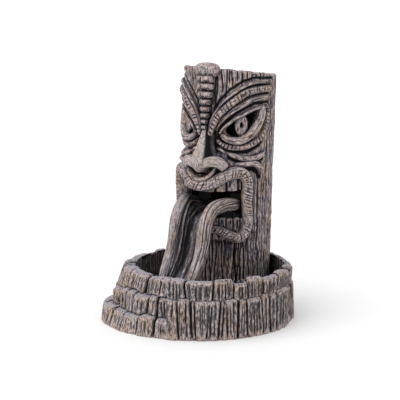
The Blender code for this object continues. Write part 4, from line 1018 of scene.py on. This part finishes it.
# How far out each course of planks stands, as (angle, radius) round the basin
courses = {
    "lowFoot": [
        (-180, 91), (-104, 91.5), (-78, 104), (-68, 109.5), (-61, 116), (-52, 120.5), (-43, 118),
        (-26, 113), (-16, 105.5), (-5, 100), (6, 98), (14, 95), (30, 91), (51, 89.5), (78, 89.5),
        (108, 91), (180, 91),
    ],
    "lowTop": [
        (-180, 91), (-104, 91.3), (-78, 103), (-68, 108.5), (-61, 115), (-52, 119), (-43, 115),
        (-36, 108.5), (-26, 107.5), (-16, 103.5), (-5, 99), (6, 97), (14, 94.5), (30, 90.7),
        (51, 89), (78, 89), (108, 90.6), (180, 91),
    ],
    "midFoot": [
        (-180, 91), (-104, 91), (-82, 95.5), (-66, 103), (-50, 107.5), (-36, 103), (-26, 101.5),
        (-10, 96.5), (8, 94.5), (14, 94), (30, 90.4), (51, 89), (78, 89), (108, 90.4), (180, 91),
    ],
    "midTop": [
        (-180, 90.6), (-104, 90.6), (-80, 94.8), (-64, 102.4), (-50, 106.5), (-36, 102),
        (-26, 100.5), (-10, 96), (8, 94.2), (14, 93), (30, 90), (51, 88.4), (78, 88.4),
        (108, 90), (180, 90.6),
    ],
    "upFoot": [
        (-180, 88.4), (-104, 88.8), (-78, 96), (-62, 102.5), (-50, 101), (-34, 93.6), (-18, 91.5),
        (-8, 92.5), (3, 91), (13, 88.4), (25, 88.4), (51, 86), (70, 86), (101, 87.6), (180, 88.4),
    ],
    "rim": [
        (-180, 88), (-104, 88.4), (-76, 91), (-60, 94), (-46, 91), (-34, 88), (-18, 87.6),
        (0, 88.4), (15, 89.6), (31, 87), (52, 85), (67, 87.6), (91, 89.6), (111, 89), (140, 88),
        (180, 88),
    ],
}
# Where the planks meet
seams = {
    "low": [-66, -52, -40, -29, -16, -5, 9, 17.6, 20, 36.5, 39, 49.2, 55.4, 67.7, 75, 82, 97],
    "mid": [-70, -60, -50, -41, -32, -24, -12],
    "up": [-62, -48, -38, -19, -12, 14.2, 31.2, 45.8, 57.8, 70.8, 84],
    "inside": [0, 12, 25],
}
basinShape = {
    "columns": 760,
    "lowStep": 19,
    "midStep": 41,
    "midDrop": 5.5,  # how much lower the middle step is at its far left
    "rim": 62.4,
    "inner": 79.2,
    "floor": 8,
    "joined": (0, 5, 92, 98),  # the lower courses merge from 0 to 5, and on the left from 92 to 98
    "tread": 2.4,  # how far a tread falls outwards
    "uneven": (1.8, 1.9, 3),  # how far plank ends rise or fall, low course first
    "standOut": 1.3,  # how far planks stand in or out
    "tilt": 0.8,
    "gap": 3.3,  # depth between planks
    "stepGap": 2,  # and this much more on the steps
    "plankWidth": (8, 14),  # of the planks whose seams aren't listed
    "jointWidth": 1.6,
}


def plankRow(angles, edges, seed):
    # For each angle: three random numbers of its plank, and how near and deep the gap beside it is
    dice = np.random.default_rng(seed)
    edges = list(edges)
    narrow, wide = basinShape["plankWidth"]
    while edges[-1] < edges[0] + 360 - wide:
        edges.append(edges[-1] + dice.uniform(narrow, wide))
    edges = np.sort((np.array(edges) + 180) % 360 - 180)
    index = np.searchsorted(edges, angles, side="right") % len(edges)
    away = np.abs((angles[:, None] - edges[None, :] + 180) % 360 - 180)
    nearest = away.argmin(1)
    gap = away.min(1) * 1.6  # a degree of the basin's wall is about 1.6 mm long
    depth = dice.uniform(0.45, 1, len(edges))[nearest]
    width = dice.uniform(0.7, 1.25, len(edges))[nearest]
    share = 1 - bump(gap, 0, basinShape["jointWidth"])
    plank = dice.uniform(-1, 1, (3, len(edges)))[:, index] * share
    return *plank, depth * bump(gap, 0, width)


def makeBasin():
    # One skin from under the basin up its outside, over the rim and down to the pool's floor
    s = basinShape
    angles = np.linspace(-180, 180, s["columns"] + 1)
    turn = np.radians(angles)
    around = (angles + 180) / 360
    flat = 0 * angles
    every = np.arange(-540, 540)
    reach = {}
    for name, knots in courses.items():
        at, radius = np.array(knots[:-1], float).T
        fine = np.interp(every, np.concatenate([at - 360, at, at + 360]), np.tile(radius, 3))
        reach[name] = np.interp(angles, every, np.convolve(fine, np.hanning(9) / 4, "same"))
    rows = []

    def ring(radius, height):
        rows.append(np.stack([radius * np.sin(turn), -radius * np.cos(turn), height + flat], 1))

    def woodGrain(height, seed):
        wide = 0.55 * streaks(height / 60 + flat, around * 120, 120, seed)
        fine = 0.6 * streaks(height / 45 + flat, around * 330, 330, seed + 1)
        splits = np.clip(streaks(height / 32 + flat, around * 300, 300, seed + 2) - 0.4, 0, 1)
        ticks = 0.2 * streaks(height / 4 + flat, around * 300, 300, seed + 3)
        return wide + fine - 2 * splits + ticks

    # the two lower courses are one beyond the steps
    begin, whole, last, end = s["joined"]
    joined = np.clip(ease(angles, begin, whole) + ease(-angles, last, end), 0, 1)
    reach["midFoot"] += (reach["lowTop"] - reach["midFoot"]) * joined
    stepped = ease(reach["lowTop"] - reach["midFoot"], 0.5, 2.5)
    midStep = s["midStep"] - s["midDrop"] * ease(-angles, 25, 48)

    def planksAt(course, height):
        # the gaps between planks lean a little, each its own way
        leaning = angles + (height - 30) * 0.05 * np.sin(np.radians(angles * 7))
        if course == "up":
            return plankRow(leaning, seams["up"], 27)
        lower = plankRow(leaning, seams["low"], 7)
        if course == "low":
            return lower
        upper = plankRow(leaning, seams["mid"] + seams["low"][5:], 17)
        return [a * joined + b * (1 - joined) for a, b in zip(lower, upper)]

    for radius in (0, 30, 60, 80):
        ring(radius + flat, 0)
    ring(reach["lowFoot"] - 1.2, 0)
    lowJump, midJump, upJump = s["uneven"]
    # name, outline at its foot and top, height, unevenness, where it is a step, the next foot, rows
    courseRows = (
        ("low", "lowFoot", "lowTop", s["lowStep"], lowJump, stepped, "midFoot", 14),
        ("mid", "midFoot", "midTop", midStep, midJump, 1, "upFoot", 17),
        ("up", "upFoot", "rim", s["rim"], upJump, 1, None, 18),
    )
    floorLine = flat
    base = 0
    for course, footName, topName, high, jump, step, following, count in courseRows:
        lift, crack = (planksAt(course, high)[i] for i in (1, 3))
        top = high + (jump * lift - 1.3 * crack) * step - (0 if following else jump)
        for t in np.linspace(0, 1, count):
            height = base + (high - base) * t
            push, _, tilt, crack = planksAt(course, height)
            radius = reach[footName] + (reach[topName] - reach[footName]) * t
            radius = radius + s["standOut"] * push + s["tilt"] * tilt * (t - 0.5) * (1 - joined)
            radius = radius + woodGrain(height, 3 if following else 51)
            radius = radius - (s["gap"] + s["stepGap"] * stepped) * crack - 1.6 * ease(t, 0.88, 1) * step
            ring(radius, floorLine + (top - floorLine) * t - 0.3 * (t == 1) * step)
        edge = radius
        if following:
            inner = edge + (np.minimum(reach[following] - 3, edge - 0.4) - edge) * step
            for share in (0.1, 0.35, 0.6, 0.85, 1):
                rough = 0.25 * streaks(flat + share * 2, around * 260, 260, 95) - 1.6 * crack * (1 - share)
                ring(edge + (inner - edge) * share, top + (rough + s["tread"] * share * stepped) * step)
            floorLine = top + s["tread"] * stepped * step + 0.02
            base = high
        else:
            for share in (0.06, 0.16, 0.3, 0.45, 0.6, 0.75, 0.88, 0.96):
                rough = 0.6 * streaks(flat + share * 3, around * 260, 260, 91) - 0.9 * crack
                crown = 0.6 * math.sin(share * math.pi)
                ring(edge + (s["inner"] + 0.3 - edge) * share, top + rough + crown)
    push, _, _, crack = plankRow(angles, seams["inside"], 37)
    for t in np.linspace(0, 1, 24):
        height = s["rim"] - 2.6 + (s["floor"] - s["rim"] + 2.6) * t
        radius = s["inner"] + 0.8 + 0.5 * push + 1.4 * crack + 0.5 * woodGrain(height, 111)
        ring(np.maximum(radius, s["inner"]), height)
    for radius in (70, 55, 38, 20, 0):
        ring(radius + flat, s["floor"])
    points = np.array(rows)
    return net("plankBasin", points, points[..., [2, 0, 1]], basinResin)


basin = makeBasin()
print("basin done", len(basin.data.polygons))

# The paint, for pieces whose name starts so: how much more of it there is, how much painted shade falls on
# faces that look to +X with painted highlight on faces that look to -X, and how much painted top light lies
# on faces that look up
paintAndLightShares = {
    "noseBridge": (1.7, 1.7, 0),
    "noseWing": (1.7, 0, 0),
    "lips": (0.45, 0, 0),
    "crest": (0.35, 0, 0),
    "cheek": (0.5, 0, 0),
    "browBand": (0.5, 0, 0),
    "lowerBand": (0.4, 0, 0),
    "tongue": (0.32, 0.4, 0),
    "plankBasin": (0.2, 0.25, 0.6),
    "upperTooth": (0.5, 0, 0),
    "lowerTooth": (0.75, 0, 0),
    "totemLog": (-0.05, 0, 0),
}
# Rays for the painted shade where other surfaces stand close, and smoothing for the relief
wearAndShadeShape = {
    "rays": 8,
    "quickRays": 4,
    "reach": 60,  # how far a ray looks for another surface
    "near": 12,  # what is nearer than this counts for more
    "lift": 0.4,  # from the surface to where a ray starts
    "scales": ((2, 5.0), (8, 2.2), (30, 0.7)),  # passes of smoothing, and the weight of what it takes off
    "footShadeCap": 0.3,  # the most painted shade that the foot's back gets
}


def neighbourMean(values, edges, count):
    total = np.zeros_like(values)
    for start, stop in ((0, 1), (1, 0)):
        for axis in range(values.shape[1]):
            total[:, axis] += np.bincount(edges[:, start], values[edges[:, stop], axis], len(values))
    return total / count[:, None]


def rayFan(rays):
    # Directions spread over the half space round the third axis
    goldenAngle = 2.399963
    fan = []
    for i in range(rays):
        up = 0.25 + 0.75 * (i + 0.5) / rays
        flat = math.sqrt(1 - up * up)
        fan.append((flat * math.cos(i * goldenAngle), flat * math.sin(i * goldenAngle), up))
    return fan


def paintedShadeFromRays(spots, normals, tree, fan):
    # How much stands close in front of each point, between 0 and a little over 1; this is painted as shade
    s = wearAndShadeShape
    reach, near = s["reach"] * mm, s["near"] * mm
    hollow = np.zeros(len(spots))
    for i, (spot, facing) in enumerate(zip(spots, normals)):
        normal = Vector(facing)
        start = Vector(spot) + normal * (s["lift"] * mm)
        sideways = normal.orthogonal().normalized()
        other = normal.cross(sideways)
        blocked = 0.0
        for a, b, c in fan:
            far = tree.ray_cast(start, sideways * a + other * b + normal * c, reach)[3]
            if far is not None:
                blocked += max(1.4 - far / near, 0.55 * (1 - far / reach))
        hollow[i] = blocked / len(fan)
    return hollow[:, None]


def wearAndPaintedLight(pieces, tree):
    # Measures how raised each point is, for the paint, and how sheltered, for the painted shade; adds painted
    # side shade and painted top light
    fan = rayFan(wearAndShadeShape["rays"])
    for obj in pieces:
        mesh = obj.data
        count = len(mesh.vertices)
        spots = np.empty(count * 3, np.float32)
        mesh.vertices.foreach_get("co", spots)
        spots = spots.reshape(-1, 3).astype(float)
        normals = np.array([vertex.normal for vertex in mesh.vertices])
        edges = np.empty(len(mesh.edges) * 2, np.int32)
        mesh.edges.foreach_get("vertices", edges)
        edges = edges.reshape(-1, 2)
        degree = np.bincount(edges.ravel(), minlength=count).clip(1)
        smooth = spots
        relief = np.zeros(count)
        done = 0
        for passes, gain in wearAndShadeShape["scales"]:
            for _ in range(passes - done):
                smooth = 0.5 * smooth + 0.5 * neighbourMean(smooth, edges, degree)
            done = passes
            relief += gain * ((spots - smooth) * normals).sum(1) / mm
        hollow = paintedShadeFromRays(spots, normals, tree, fan)
        for _ in range(2):
            hollow = 0.4 * hollow + 0.6 * neighbourMean(hollow, edges, degree)
        if obj is totemLog:
            # the painted shade from the basin's wall is capped on the foot's back: the foot is painted before
            # it goes into the basin
            behind = (spots[:, 2] < logShape["ledge"] * mm) & (spots[:, 1] > (logY + 5) * mm)
            hollow[behind] = np.minimum(hollow[behind], wearAndShadeShape["footShadeCap"])
        shares = [share for start, share in paintAndLightShares.items() if obj.name.startswith(start)]
        more, paintedSideShade, paintedTopLight = shares[0] if shares else (0, 0, 0)
        upward = np.clip(normals[:, 2:], 0, 1)
        # painted side shade and painted top light go into the relief, beside each piece's extra paint
        relief += more - paintedSideShade * normals[:, 0] + paintedTopLight * upward[:, 0]
        # less painted shade on faces that look up, as painted top light
        hollow *= 1 - paintedTopLight * upward
        for name, values in (("relief", np.clip(relief, -1, 1)), ("hollow", np.clip(hollow[:, 0], 0, 1))):
            held = mesh.attributes.new(name, "FLOAT", "POINT")
            held.data.foreach_set("value", values.astype(np.float32))


def wholeTree(pieces):
    corners, faces = [], []
    for obj in pieces:
        first = len(corners)
        corners += [vertex.co[:] for vertex in obj.data.vertices]
        faces += [[first + i for i in polygon.vertices] for polygon in obj.data.polygons]
    return BVHTree.FromPolygons(corners, faces)


resin = [totemLog, *carvings, tongue, basin]
wearAndPaintedLight(resin, wholeTree(resin))
print("wear measured")

for piece in (totemLog, *carvings):
    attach(piece, "totem")
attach(tongue, "totem")
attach(basin, "base")
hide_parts("totem_shell")
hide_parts("tongue_ramp")
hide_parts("basin")

studio = {
    "floorSize": 60,  # metres, so that its edge is past the horizon
    "paper": ("#e1e1e1", "#e4e4e4"),
    "sky": 1.11,
    "window": 1.35,
    "windowWidth": 60,
    "windowFrom": (0.32, 0.46, -0.83),  # the way its light goes
    "lens": 97.2,
    "cameraAngle": 30.5,
    "cameraTilt": 10.87,
    "cameraAway": 1.15,
    "cameraAside": -0.0111,
    "cameraHeight": 0.3503,
}


def makeFloor():
    # Matt paper sweep with a 1 mm tooth: an even white that takes soft shadows
    bpy.ops.object.select_all(action="DESELECT")
    bpy.ops.mesh.primitive_plane_add(size=studio["floorSize"])
    floor = bpy.context.object
    floor.name = "studioFloor"
    made, shader, add = freshMaterial("whitePaperSweep")
    tooth = add("TexNoise", {"Vector": add("TexCoord", {}, out="Object"), "Scale": 900, "Detail": 2})
    dark, light = studio["paper"]
    colour = add("Mix", {0: tooth, 6: dark, 7: light}, out=2, data_type="RGBA")
    connect(shader, Base_Color=colour)
    shader.inputs["Roughness"].default_value = 0.9
    floor.data.materials.append(made)


def makeLights():
    world = bpy.data.worlds.new("studio")
    bpy.context.scene.world = world
    world.use_nodes = True
    backdrop = world.node_tree.nodes["Background"]
    backdrop.inputs["Color"].default_value = (1, 1, 1, 1)
    backdrop.inputs["Strength"].default_value = studio["sky"]
    lamp = bpy.data.lights.new("windowLight", "SUN")
    lamp.energy = studio["window"]
    lamp.angle = math.radians(studio["windowWidth"])
    holder = bpy.data.objects.new("windowLight", lamp)
    bpy.context.collection.objects.link(holder)
    holder.rotation_euler = Vector(studio["windowFrom"]).to_track_quat("-Z", "Y").to_euler()


def makeCamera():
    turn = math.radians(studio["cameraAngle"])
    tilt = math.radians(studio["cameraTilt"])
    right = Vector((math.cos(turn), math.sin(turn), 0))
    back = Vector((math.sin(turn), -math.cos(turn), 0))
    lens = bpy.data.cameras.new("studioCamera")
    lens.lens = studio["lens"]
    camera = bpy.data.objects.new("studioCamera", lens)
    bpy.context.collection.objects.link(camera)
    aside = studio["cameraAside"] * right
    camera.location = studio["cameraAway"] * back + aside + Vector((0, 0, studio["cameraHeight"]))
    look = -back * math.cos(tilt) - Vector((0, 0, math.sin(tilt)))
    camera.rotation_euler = look.to_track_quat("-Z", "Y").to_euler()
    bpy.context.scene.camera = camera


makeFloor()
makeLights()
makeCamera()
bpy.context.scene.view_settings.view_transform = "Standard"
print("stage set")
